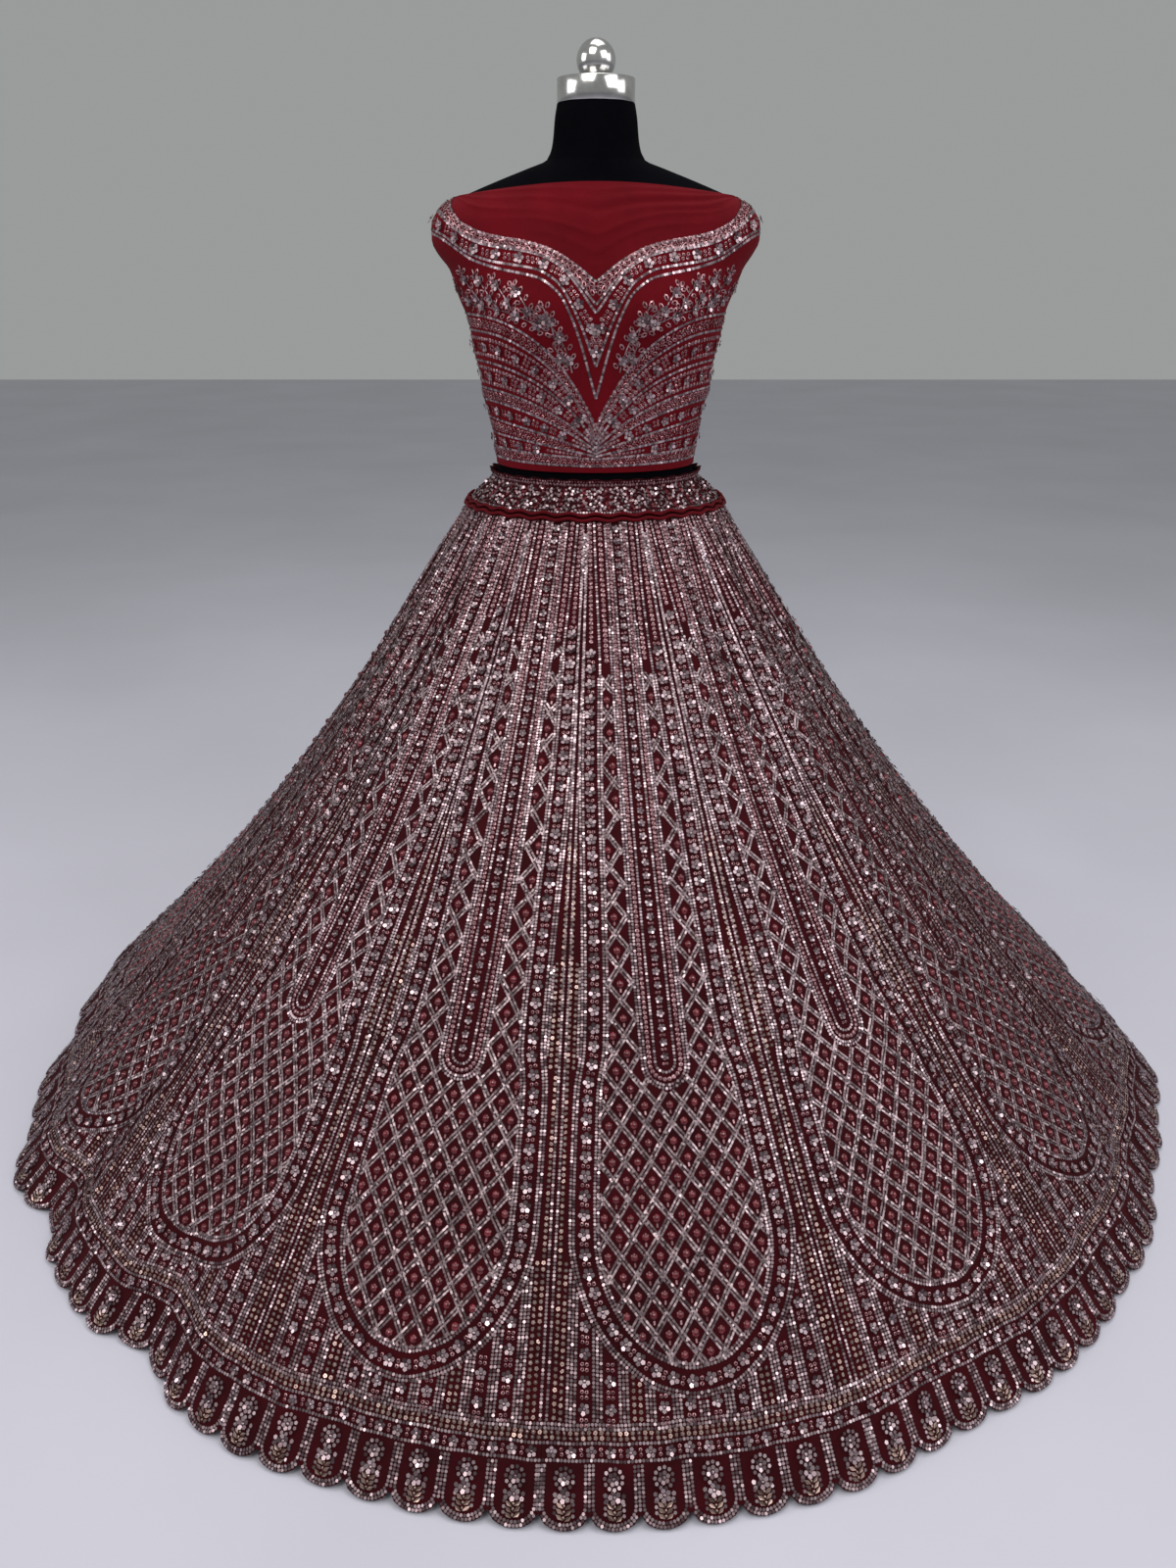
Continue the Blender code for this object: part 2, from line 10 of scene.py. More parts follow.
import bpy
import numpy as np
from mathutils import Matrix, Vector


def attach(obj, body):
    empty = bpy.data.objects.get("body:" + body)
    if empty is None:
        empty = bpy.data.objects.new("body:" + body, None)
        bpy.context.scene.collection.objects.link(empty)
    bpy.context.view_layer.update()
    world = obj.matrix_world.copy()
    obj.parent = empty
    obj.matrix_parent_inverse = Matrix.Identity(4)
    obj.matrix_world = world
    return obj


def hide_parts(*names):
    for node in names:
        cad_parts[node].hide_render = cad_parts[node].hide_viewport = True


# Skirt
SKIRT_TOP_Z = 0.8859
HEM_Z = 0.0035
WAIST_RADIUS = 0.1765
HEM_RADIUS = 0.892
FLARE_BEND = -0.2764
WAIST_DEPTH_RATIO = 0.79
ROUND_BY_DROP = 0.45
KALI_COUNT = 15
KALI_TURN = 360.0 / KALI_COUNT
FIRST_KALI_CENTRE = 8.0
TABS_PER_KALI = 7
NOTCH_DROP = 0.0135
COLUMNS_PER_TAB = 8
KALI_GAP = 0.0003
SHELL_THICKNESS = 0.0012
FLUTE_COUNT = 15
FLUTE_DEPTH = 0.0065
FLUTE_FULL_BY = 0.12
FLUTE_GONE_BY = 0.62
FLUTE_TURN = 40.0
UNEVEN_SHARE = 0.25
PUCKER_DEPTH = 0.0009

# Folds of the hem: azimuth of the middle, reach to each side in degrees, rise in metres and the drop
# where the fold starts
FOLD_COLUMNS = ("azimuth", "reach", "rise", "start")
HEM_FOLDS = (
    (-172.0, 8.0, 0.016, 0.55),
    (-156.0, 7.0, -0.018, 0.60),
    (-138.0, 8.0, 0.020, 0.50),
    (-121.0, 7.0, -0.020, 0.60),
    (-104.0, 8.0, 0.018, 0.50),
    (-86.0, 7.0, -0.018, 0.60),
    (-65.0, 6.5, 0.018, 0.52),
    (-57.5, 4.5, -0.018, 0.62),
    (-38.5, 6.5, -0.025, 0.62),
    (-26.0, 8.0, 0.006, 0.60),
    (28.0, 11.0, -0.011, 0.62),
    (49.0, 5.0, -0.005, 0.60),
    (63.5, 6.0, -0.011, 0.55),
    (80.0, 8.0, 0.018, 0.50),
    (96.0, 7.0, -0.018, 0.60),
    (112.0, 8.0, 0.020, 0.50),
    (130.0, 7.0, -0.018, 0.60),
    (147.0, 8.0, 0.018, 0.55),
    (164.0, 7.0, -0.016, 0.60),
)

# Waistband and piping
RING_COLUMNS = ("z", "half_width", "gather", "wave")
WAISTBAND_RINGS = (
    (0.8862, 0.1765, 0.0, 0.0),
    (0.9065, 0.1545, 0.0032, 0.0),
    (0.9200, 0.1424, 0.0004, 0.0),
    (0.9285, 0.1455, 0.0022, 0.0012),
)
GATHER_COUNT = 32
BAND_TOP_Z = 0.9285
BAND_BOTTOM_Z = 0.8862
PIPING_RADIUS = 0.0024
PIPING_WAVE = 0.0014
PIPING_CLEARANCE = 0.0006
UPPER_PIPING_Z = 0.8890
LOWER_PIPING_Z = 0.8829

# Dress form and choli
SECTION_COLUMNS = ("z", "half_width", "front", "back", "power")
FORM_SECTIONS = (
    (0.660, 0.1400, 0.0900, 0.0980, 0.92),
    (0.668, 0.1500, 0.0980, 0.1060, 0.92),
    (0.760, 0.1600, 0.1080, 0.1240, 0.92),
    (0.850, 0.1500, 0.1080, 0.1180, 0.94),
    (0.893, 0.1438, 0.1085, 0.1110, 0.98),
    (0.912, 0.1409, 0.1104, 0.1104, 1.00),
    (0.930, 0.1342, 0.1040, 0.1010, 0.97),
    (0.957, 0.1347, 0.1045, 0.0985, 0.95),
    (0.996, 0.1414, 0.1070, 0.1000, 0.92),
    (1.034, 0.1493, 0.1085, 0.1030, 0.90),
    (1.072, 0.1565, 0.1090, 0.1060, 0.89),
    (1.109, 0.1634, 0.1085, 0.1085, 0.88),
    (1.145, 0.1742, 0.1070, 0.1100, 0.87),
    (1.181, 0.1879, 0.1025, 0.1105, 0.87),
    (1.200, 0.2015, 0.0990, 0.1095, 0.87),
    (1.216, 0.2082, 0.0955, 0.1070, 0.87),
    (1.233, 0.2081, 0.0915, 0.1035, 0.87),
    (1.249, 0.1985, 0.0850, 0.0985, 0.88),
    (1.262, 0.1790, 0.0780, 0.0920, 0.90),
    (1.272, 0.1550, 0.0715, 0.0860, 0.92),
    (1.285, 0.1210, 0.0630, 0.0785, 0.95),
    (1.298, 0.0850, 0.0575, 0.0690, 0.98),
    (1.306, 0.0640, 0.0555, 0.0610, 1.00),
    (1.318, 0.0565, 0.0535, 0.0550, 1.00),
    (1.330, 0.0540, 0.0530, 0.0530, 1.00),
    (1.354, 0.0514, 0.0514, 0.0514, 1.00),
    (1.369, 0.0486, 0.0486, 0.0486, 1.00),
)
BUST_X = 0.083
BUST_Z = 1.138
BUST_REACH_X = 0.052
BUST_REACH_Z = 0.060
FORM_BUST = 0.019
CLOTH_BUST = 0.023
BUST_FADE = 0.35
CHOLI_HEM_Z = 0.937
CHOLI_TOP_Z = 1.264
CHOLI_LIFT = 0.0034
CHOLI_HEM_LIFT = 0.0024
LIFT_FULL_AFTER = 0.03
NECK_SEAM = 0.0002
SIDE_AZIMUTH = 90.0
PLACKET_AZIMUTH = 177.6
SEAM_TURN = 0.035
NECK_COLUMNS = ("azimuth", "z")
NECKLINE = (
    (0.0, 1.1690),
    (4.0, 1.1820),
    (8.7, 1.1945),
    (15.7, 1.2065),
    (22.8, 1.2130),
    (30.0, 1.2170),
    (40.0, 1.2235),
    (50.0, 1.2345),
    (60.0, 1.2470),
    (72.0, 1.2575),
    (90.0, 1.2640),
)
YOKE_REACH = 75.0
YOKE_SIDE_Z = 1.2620
YOKE_CREST = 0.0160
CREASE_DEPTH = 0.0011
BACK_CUT = (0.235, 0.33)
PLACKET_CUT = (0.022, 0.33)

# Collar and finial
COLLAR_RADIUS = 0.0486
COLLAR_BOTTOM_Z = 1.3693
COLLAR_TOP_Z = 1.3970
FINIAL_RADIUS = 0.0242
FINIAL_TOP_Z = 1.4400
COLLAR_EDGE = 0.0012
FINIAL_GAP = 0.0003

# Layout of a panel's embroidery, in metres across from its middle and as shares of the drop
TEARDROP_COLUMNS = ("drop", "lattice", "chain", "outline")
TEARDROP = (
    (0.00, 0.0270, 0.0325, 0.0362),
    (0.08, 0.0300, 0.0372, 0.0440),
    (0.17, 0.0330, 0.0435, 0.0525),
    (0.30, 0.0440, 0.0565, 0.0670),
    (0.48, 0.0560, 0.0690, 0.0810),
    (0.60, 0.0680, 0.0810, 0.0940),
    (0.64, 0.0790, 0.0920, 0.1050),
    (0.70, 0.0880, 0.1010, 0.1150),
    (0.74, 0.0940, 0.1070, 0.1210),
    (0.78, 0.0980, 0.1120, 0.1260),
)
FOOT_START = 0.78
TEARDROP_FEET = {"lattice": 0.882, "chain": 0.8940, "outline": 0.9050}
HORN_TOP = 0.17
HORN_STEP = 0.022
LINES_START = 0.006
DOUBLE_GAP = 0.0019
EDGE_MARGIN = 0.0010
TONGUE_COLUMNS = ("drop", "half")
TONGUE = ((0.02, 0.0140), (0.30, 0.0200), (0.55, 0.0250), (0.70, 0.0255))
TONGUE_FOOT = 0.640
TONGUE_STEP = 0.030
CELL_WIDTH = 0.029
CELL_HEIGHT = 0.040
LATTICE_GAP = 0.0019
BUGLE_PITCH = 0.0045
BORDER_TOP = 0.925
BORDER_STEPS = 5.6
COLUMNS_START = 0.004
COLUMNS_END = BORDER_TOP - 0.003
LINES_SPREAD = 0.80
TABS_TOP = 0.950
CLOTH_TABS_TOP = 0.9375
SEQUIN = 0.0019
LINE_PITCH = 0.0039
LEAF_LEAN = 0.5

SEED = 20260
rng = np.random.default_rng(SEED)

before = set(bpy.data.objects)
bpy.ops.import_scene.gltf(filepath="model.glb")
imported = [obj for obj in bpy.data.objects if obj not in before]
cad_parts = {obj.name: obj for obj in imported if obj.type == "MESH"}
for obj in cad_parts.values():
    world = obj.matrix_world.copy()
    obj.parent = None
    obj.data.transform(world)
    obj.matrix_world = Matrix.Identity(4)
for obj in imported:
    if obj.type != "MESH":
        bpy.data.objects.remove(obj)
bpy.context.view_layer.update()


# Smooth tables and surfaces, on whole arrays at once


def ease(share):
    share = np.clip(share, 0.0, 1.0)
    return share * share * (3.0 - 2.0 * share)


def curve_through(table, columns, key, name):
    """A function that reads one column of a table on a smooth curve through its rows."""
    keys = np.array([row[columns.index(key)] for row in table])
    values = np.array([row[columns.index(name)] for row in table])
    widths = np.diff(keys)
    slopes = np.diff(values) / widths
    before = np.concatenate([slopes[:1], slopes])
    after = np.concatenate([slopes, slopes[-1:]])
    product = before * after
    total = np.where(np.abs(before + after) > 1e-12, before + after, 1.0)
    bends = np.where(product > 0.0, 2.0 * product / total, 0.0)

    def read(place):
        place = np.clip(place, keys[0], keys[-1])
        row = np.clip(np.searchsorted(keys, place, side="right") - 1, 0, len(keys) - 2)
        t = (place - keys[row]) / widths[row]
        start = (1.0 + 2.0 * t) * (1.0 - t) ** 2 * values[row]
        end = t * t * (3.0 - 2.0 * t) * values[row + 1]
        leave = t * (1.0 - t) ** 2 * widths[row] * bends[row]
        arrive = t * t * (t - 1.0) * widths[row] * bends[row + 1]
        return start + end + leave + arrive

    return read


def columns_of(table, columns, key):
    return {name: curve_through(table, columns, key, name) for name in columns if name != key}


FORM = columns_of(FORM_SECTIONS, SECTION_COLUMNS, "z")
RINGS = columns_of(WAISTBAND_RINGS, RING_COLUMNS, "z")
NECK_Z = curve_through(NECKLINE, NECK_COLUMNS, "azimuth", "z")
TEARDROP_SHAPE = columns_of(TEARDROP, TEARDROP_COLUMNS, "drop")
TONGUE_HALF = curve_through(TONGUE, TONGUE_COLUMNS, "drop", "half")


def uneven(azimuth, waves):
    return 1.0 - UNEVEN_SHARE * (0.5 + 0.5 * np.sin(np.radians(waves * azimuth)))


def skirt_radius(drop):
    return WAIST_RADIUS + (HEM_RADIUS - WAIST_RADIUS) * (drop + FLARE_BEND * drop * (1.0 - drop))


def flute(azimuth, drop):
    grown = ease(drop / FLUTE_FULL_BY)
    left = 1.0 - ease((drop - FLUTE_FULL_BY) / (FLUTE_GONE_BY - FLUTE_FULL_BY))
    depth = FLUTE_DEPTH * uneven(azimuth, 5.0)
    return depth * grown * left * np.sin(np.radians(FLUTE_COUNT * azimuth + FLUTE_TURN))


def hem_fold(azimuth, drop):
    rise = 0.0
    for row in HEM_FOLDS:
        fold = dict(zip(FOLD_COLUMNS, row))
        away = (azimuth - fold["azimuth"] + 180.0) % 360.0 - 180.0
        crest = np.where(np.abs(away) < fold["reach"], 0.5 + 0.5 * np.cos(np.pi * away / fold["reach"]), 0.0)
        rise = rise + fold["rise"] * crest * ease((drop - fold["start"]) / (1.0 - fold["start"]))
    return rise


def pucker(azimuth, drop):
    """Small uneven waves where the dense sewing draws the cloth in."""
    slow = np.sin(np.radians(47.0 * azimuth) + 9.0 * drop) * np.sin(31.0 * drop + 0.11 * azimuth)
    quick = np.sin(np.radians(113.0 * azimuth) - 23.0 * drop + 1.3)
    return PUCKER_DEPTH * (slow + 0.6 * quick) * ease(drop / 0.05) * ease((1.0 - drop) / 0.04)


def skirt_point(azimuth, drop):
    angle = np.radians(azimuth)
    radius = skirt_radius(drop) + flute(azimuth, drop) + hem_fold(azimuth, drop) + pucker(azimuth, drop)
    depth_ratio = WAIST_DEPTH_RATIO + (1.0 - WAIST_DEPTH_RATIO) * ease(drop / ROUND_BY_DROP)
    height = HEM_Z + (SKIRT_TOP_Z - HEM_Z) * (1.0 - drop)
    return np.stack([radius * np.sin(angle), -radius * depth_ratio * np.cos(angle), height], axis=-1)


def waistband_point(azimuth, height):
    angle = np.radians(azimuth)
    pleat = uneven(azimuth, 3.0) * np.cos(GATHER_COUNT * angle)
    small = 0.25 * np.sin(2.0 * GATHER_COUNT * angle + 1.0 + 0.4 * np.sin(5.0 * angle))
    radius = RINGS["half_width"](height) + RINGS["gather"](height) * (pleat + small)
    lifted = height + RINGS["wave"](height) * pleat
    return np.stack(
        [radius * np.sin(angle), -radius * WAIST_DEPTH_RATIO * np.cos(angle), lifted], axis=-1
    )


def figure_point(azimuth, z, bust):
    angle = np.radians(azimuth)
    side, ahead = np.sin(angle), np.cos(angle)
    power = FORM["power"](z)
    x = np.sign(side) * FORM["half_width"](z) * np.abs(side) ** power
    depth = np.where(ahead > 0.0, FORM["front"](z), FORM["back"](z))
    y = -np.sign(ahead) * depth * np.abs(ahead) ** power
    across = (np.abs(x) - BUST_X) / BUST_REACH_X
    up = (z - BUST_Z) / BUST_REACH_Z
    y = y - np.where(ahead > 0.0, bust * np.exp(-across * across - up * up) * ease(ahead / BUST_FADE), 0.0)
    return np.stack([x, y, z + 0.0 * x], axis=-1)


def form_point(azimuth, z):
    return figure_point(azimuth, z, FORM_BUST)


def cloth_figure_point(azimuth, z):
    return figure_point(azimuth, z, CLOTH_BUST)


def unit(vectors):
    return vectors / np.maximum(np.linalg.norm(vectors, axis=-1, keepdims=True), 1e-12)


def directions(surface, azimuth, place, step, down):
    """The point, and the level, downward and outward directions of a surface there."""
    turn = 0.2
    across = unit(surface(azimuth + turn, place) - surface(azimuth - turn, place))
    below = surface(azimuth, place + down * step) - surface(azimuth, place - down * step)
    out = unit(np.cross(below, across))
    return surface(azimuth, place), across, np.cross(across, out), out


def choli_base(azimuth, z):
    """Outer face of the choli without its small creases."""
    lift = CHOLI_HEM_LIFT + (CHOLI_LIFT - CHOLI_HEM_LIFT) * ease((z - CHOLI_HEM_Z) / LIFT_FULL_AFTER)
    point, _, _, out = directions(cloth_figure_point, azimuth, z, 0.001, -1.0)
    return point + lift[..., None] * out


def choli_crease(azimuth, z):
    """Shallow pulls of the wrapped cloth toward the sides of the waist and under the bust."""
    side = ease((np.abs(azimuth) - 35.0) / 45.0) * ease((155.0 - np.abs(azimuth)) / 40.0)
    level = np.sin(95.0 * (z + 0.00055 * np.abs(azimuth)) + 0.7 * np.sin(np.radians(3.0 * azimuth)))
    fade = ease((z - CHOLI_HEM_Z) / 0.03) * ease((1.235 - z) / 0.05)
    return CREASE_DEPTH * side * level * fade


def choli_point(azimuth, z):
    _, _, _, out = directions(cloth_figure_point, azimuth, z, 0.001, -1.0)
    return choli_base(azimuth, z) + choli_crease(azimuth, z)[..., None] * out


def yoke_top(azimuth):
    return YOKE_SIDE_Z + YOKE_CREST * np.cos(np.radians(azimuth)) ** 2


# Drag folds of the yoke: height at the middle, bow and width as shares of the yoke's height, rise in
# metres, and the azimuth where a fold is deepest with its reach to each side
YOKE_FOLD_COLUMNS = ("share", "bow", "rise", "width", "azimuth", "reach")
YOKE_FOLDS = (
    (0.90, 0.03, 0.0016, 0.035, 5.0, 70.0),
    (0.78, 0.07, 0.0018, 0.050, 30.0, 45.0),
    (0.69, 0.05, -0.0012, 0.040, 20.0, 55.0),
    (0.58, 0.06, 0.0016, 0.045, 42.0, 38.0),
    (0.47, -0.10, 0.0012, 0.035, 12.0, 40.0),
    (0.74, 0.04, 0.0014, 0.045, -38.0, 40.0),
    (0.52, 0.05, 0.0012, 0.050, -45.0, 30.0),
    (0.30, -0.08, 0.0009, 0.040, 10.0, 25.0),
)


def yoke_point(azimuth, z):
    low = NECK_Z(np.abs(azimuth))
    share = (z - low) / (yoke_top(azimuth) - low)
    rise = 0.0
    for row in YOKE_FOLDS:
        fold = dict(zip(YOKE_FOLD_COLUMNS, row))
        along = (azimuth - fold["azimuth"]) / fold["reach"]
        middle = fold["share"] + fold["bow"] * along * along
        rise = rise + fold["rise"] * np.exp(-(((share - middle) / fold["width"]) ** 2) - along * along)
    hold = ease(share / 0.06) * ease((1.0 - share) / 0.05)
    _, _, _, out = directions(cloth_figure_point, azimuth, z, 0.001, -1.0)
    return choli_base(azimuth, z) + (rise * hold)[..., None] * out


# Materials


def new_material(name):
    material = bpy.data.materials.new(name)
    material.use_nodes = True
    tree = material.node_tree
    return material, tree, tree.nodes["Principled BSDF"]


def node(tree, kind, **values):
    made = tree.nodes.new(kind)
    for key, value in values.items():
        if key.startswith("in_"):
            made.inputs[key[3:].replace("_", " ")].default_value = value
        else:
            setattr(made, key, value)
    return made


def ramp(tree, source, stops):
    made = tree.nodes.new("ShaderNodeValToRGB")
    while len(made.color_ramp.elements) < len(stops):
        made.color_ramp.elements.new(0.5)
    for element, (place, color) in zip(made.color_ramp.elements, stops):
        element.position = place
        element.color = (*color, 1.0)
    tree.links.new(source, made.inputs["Fac"])
    return made.outputs["Color"]


def bump(tree, shader, source, strength, distance):
    made = node(tree, "ShaderNodeBump", in_Strength=strength, in_Distance=distance)
    tree.links.new(source, made.inputs["Height"])
    tree.links.new(made.outputs["Normal"], shader.inputs["Normal"])


def cloth_material(name, dark, light, roughness, weave, sheen, specular=0.10):
    """Plain woven cloth: crossing threads in bump, with soft uneven dye and a little sheen."""
    material, tree, shader = new_material(name)
    place = node(tree, "ShaderNodeTexCoord").outputs["Object"]
    dye = node(tree, "ShaderNodeTexNoise", in_Scale=14.0, in_Detail=6.0, in_Roughness=0.6)
    tree.links.new(place, dye.inputs["Vector"])
    color = ramp(tree, dye.outputs["Fac"], ((0.30, dark), (0.72, light)))
    tree.links.new(color, shader.inputs["Base Color"])
    heights = []
    for direction in ("X", "Z"):
        threads = node(
            tree,
            "ShaderNodeTexWave",
            bands_direction=direction,
            in_Scale=weave,
            in_Distortion=1.5,
            in_Detail=2.0,
            in_Detail_Scale=2.0,
        )
        tree.links.new(place, threads.inputs["Vector"])
        heights.append(threads.outputs["Fac"])
    both = node(tree, "ShaderNodeMath", operation="ADD")
    tree.links.new(heights[0], both.inputs[0])
    tree.links.new(heights[1], both.inputs[1])
    bump(tree, shader, both.outputs[0], 0.35, 0.0006)
    shader.inputs["Roughness"].default_value = roughness
    shader.inputs["Sheen Weight"].default_value = sheen
    shader.inputs["Sheen Roughness"].default_value = 0.45
    shader.inputs["Sheen Tint"].default_value = (1.0, 0.40, 0.42, 1.0)
    shader.inputs["Specular IOR Level"].default_value = specular
    return material


def trim_material(name, dark, light, roughness, metallic):
    """Small bright trimmings. Each face's colour lies between dark and light by its own per-face value:
    partly the sequins' random tone, partly painted glints.
    """
    material, tree, shader = new_material(name)
    tone_and_glint = node(tree, "ShaderNodeAttribute", attribute_name="tone_and_glint")
    # The light end of this ramp paints glints on some sequins and highlights on some drop facets; the rest
    # is random tone.
    color = ramp(tree, tone_and_glint.outputs["Fac"], ((0.0, dark), (1.0, light)))
    tree.links.new(color, shader.inputs["Base Color"])
    shader.inputs["Roughness"].default_value = roughness
    shader.inputs["Metallic"].default_value = metallic
    return material


def metal_material(name, dark, light, low, high):
    """Polished metal with faint smudges."""
    material, tree, shader = new_material(name)
    place = node(tree, "ShaderNodeTexCoord").outputs["Object"]
    smudge = node(tree, "ShaderNodeTexNoise", in_Scale=38.0, in_Detail=5.0, in_Roughness=0.65)
    tree.links.new(place, smudge.inputs["Vector"])
    color = ramp(tree, smudge.outputs["Fac"], ((0.35, dark), (0.7, light)))
    tree.links.new(color, shader.inputs["Base Color"])
    spread = node(tree, "ShaderNodeMapRange", in_To_Min=low, in_To_Max=high)
    tree.links.new(smudge.outputs["Fac"], spread.inputs["Value"])
    tree.links.new(spread.outputs["Result"], shader.inputs["Roughness"])
    shader.inputs["Metallic"].default_value = 1.0
    return material


GROUND = cloth_material("maroon_ground", (0.022, 0.0003, 0.0016), (0.046, 0.0007, 0.0032), 0.76, 620.0, 0.02)
PLAIN = cloth_material("maroon_plain", (0.094, 0.0008, 0.0040), (0.136, 0.0014, 0.0062), 0.85, 520.0, 0.02)
CORD = cloth_material("maroon_cord", (0.070, 0.0007, 0.0030), (0.105, 0.0013, 0.0050), 0.72, 700.0, 0.03)
COVER = cloth_material(
    "black_cover", (0.0012, 0.0012, 0.0022), (0.0026, 0.0026, 0.0040), 0.90, 560.0, 0.0, specular=0.02
)
SILVER = trim_material("silver_sequin", (0.080, 0.050, 0.057), (0.76, 0.585, 0.625), 0.34, 0.85)
BRONZE = trim_material("bronze_bead", (0.125, 0.080, 0.070), (0.58, 0.410, 0.350), 0.34, 0.85)
ROSE = trim_material("rose_bead", (0.170, 0.070, 0.080), (0.60, 0.340, 0.365), 0.36, 0.75)
# Each facet of a drop takes its own per-face brightness, so some facets carry painted highlights.
RUBY = trim_material("ruby_drop", (0.075, 0.0040, 0.009), (0.21, 0.026, 0.036), 0.14, 0.0)
ZARI = trim_material("silver_thread", (0.095, 0.062, 0.067), (0.56, 0.430, 0.455), 0.38, 0.78)
CHROME = metal_material("chrome", (0.50, 0.49, 0.48), (0.66, 0.65, 0.64), 0.10, 0.24)
PAINTED = metal_material("stand_metal", (0.020, 0.020, 0.022), (0.034, 0.034, 0.037), 0.34, 0.50)
TRIMS = [SILVER, BRONZE, ROSE, RUBY, ZARI]
SILVER_SLOT, BRONZE_SLOT, ROSE_SLOT, RUBY_SLOT, ZARI_SLOT = range(5)


# Shells of cloth


def link(name, mesh, materials):
    model = bpy.data.objects.new(name, mesh)
    bpy.context.scene.collection.objects.link(model)
    for material in materials:
        mesh.materials.append(material)
    return model


def smooth_mesh(name, points, faces, sharp=None):
    """A smooth mesh, with hard edges where its faces meet at more than sharp degrees."""
    mesh = bpy.data.meshes.new(name)
    mesh.from_pydata(points, [], faces)
    mesh.shade_smooth()
    if sharp:
        mesh.set_sharp_from_angle(angle=math.radians(sharp))
    return mesh


def grid_faces(rows, columns, flip=False):
    corner = (np.arange(rows - 1)[:, None] * columns + np.arange(columns - 1)[None, :]).ravel()
    faces = np.stack([corner, corner + columns, corner + columns + 1, corner + 1], axis=1)
    return faces[:, ::-1] if flip else faces


def cloth_shell(name, surface, azimuths, places, material):
    """A thin closed shell. azimuths and places are grids with rows down the cloth and columns round it."""
    rows, columns = places.shape
    outer = surface(azimuths, places).reshape(-1, 3)
    grid = outer.reshape(rows, columns, 3)
    across = np.gradient(grid, axis=1)
    down = np.gradient(grid, axis=0)
    out = unit(np.cross(down, across)).reshape(-1, 3)
    inner = outer - SHELL_THICKNESS * out
    count = rows * columns
    edge = np.concatenate(
        [
            np.arange(columns),
            np.arange(1, rows) * columns + columns - 1,
            (rows - 1) * columns + np.arange(columns - 2, -1, -1),
            np.arange(rows - 2, 0, -1) * columns,
        ]
    )
    beside = np.roll(edge, -1)
    rim = np.stack([edge, beside, beside + count, edge + count], axis=1)
    faces = np.concatenate([grid_faces(rows, columns), grid_faces(rows, columns, flip=True) + count, rim])
    points = np.concatenate([outer, inner]).tolist()
    return link(name, smooth_mesh(name, points, faces.tolist(), 60.0), [material])


# Small trimmings, as many copies of a few templates joined into one mesh


def band_faces(count):
    """Faces between two rings of count points, the second ring numbered after the first."""
    return [(i, (i + 1) % count, (i + 1) % count + count, i + count) for i in range(count)]


def ring_of(count, radius, height=0.0, stretch=1.0):
    angles = 2.0 * np.pi * np.arange(count) / count
    return [(radius * stretch * math.cos(a), radius * math.sin(a), height) for a in angles]


def disc(count):
    """A flat sequin of unit radius."""
    return np.array(ring_of(count, 1.0)), [tuple(range(count))]


def dome(count, height):
    """A faceted bead of unit radius."""
    points = ring_of(count, 1.0) + [(0.0, 0.0, height)]
    return np.array(points), [(i, (i + 1) % count, count) for i in range(count)]


def gem(count, stretch):
    """A faceted drop with a table."""
    points = ring_of(count, 1.0, stretch=stretch) + ring_of(count, 0.5, 0.62, stretch=stretch)
    return np.array(points), band_faces(count) + [tuple(range(count, 2 * count))]


def hoop(count, inner, rise, stretch=1.0):
    """A small ring of thread, or an open leaf where it is stretched."""
    points = ring_of(count, 1.0, stretch=stretch) + ring_of(count, inner, rise, stretch)
    return np.array(points), band_faces(count)


def leaf():
    """A pointed leaf, folded a little along its middle."""
    points = [(-1.0, 0.0, 0.0), (0.0, -0.46, 0.12), (1.0, 0.0, 0.0), (0.0, 0.46, 0.12)]
    return np.array(points), [(0, 1, 2), (0, 2, 3)]


def bar(half):
    """A flat stitch of length 2."""
    points = [(-1.0, -half, 0.0), (1.0, -half, 0.0), (1.0, half, 0.0), (-1.0, half, 0.0)]
    return np.array(points), [(0, 1, 2, 3)]


def petals(points, faces, count, reach, size, tilt):
    """Add round petals in a ring, each tilted outward."""
    for petal in range(count):
        angle = 2.0 * math.pi * petal / count
        ahead, aside = math.cos(angle), math.sin(angle)
        first = len(points)
        for x, y, _ in ring_of(5, size):
            along = reach + x
            points.append((along * ahead - y * aside, along * aside + y * ahead, tilt * x + 0.25))
        faces.append(tuple(range(first, first + 5)))


def flower(count, reach, outer=0):
    """Petals about a bead, and round them an outer ring of sequins where outer is not 0."""
    points, faces = [], []
    petals(points, faces, count, reach, reach * math.sin(math.pi / count) * 1.05, 0.28)
    if outer:
        petals(points, faces, outer, 0.84, 0.19, 0.0)
    first = len(points)
    points.extend(ring_of(5, 0.45 * reach, 0.2))
    points.append((0.0, 0.0, 0.85 * reach))
    faces.extend((first + i, first + (i + 1) % 5, first + 5) for i in range(5))
    return np.array(points), faces


TEMPLATES = {
    "sequin": disc(5),
    "bead": dome(4, 0.8),
    "drop": gem(6, 1.12),
    "hoop": hoop(5, 0.50, 0.16),
    "oval": hoop(6, 0.52, 0.16, 1.55),
    "leaf": leaf(),
    "bar": bar(0.5),
    "bugle": bar(0.58),
    "flower": flower(5, 0.66),
    "rosette": flower(6, 0.40, outer=11),
}


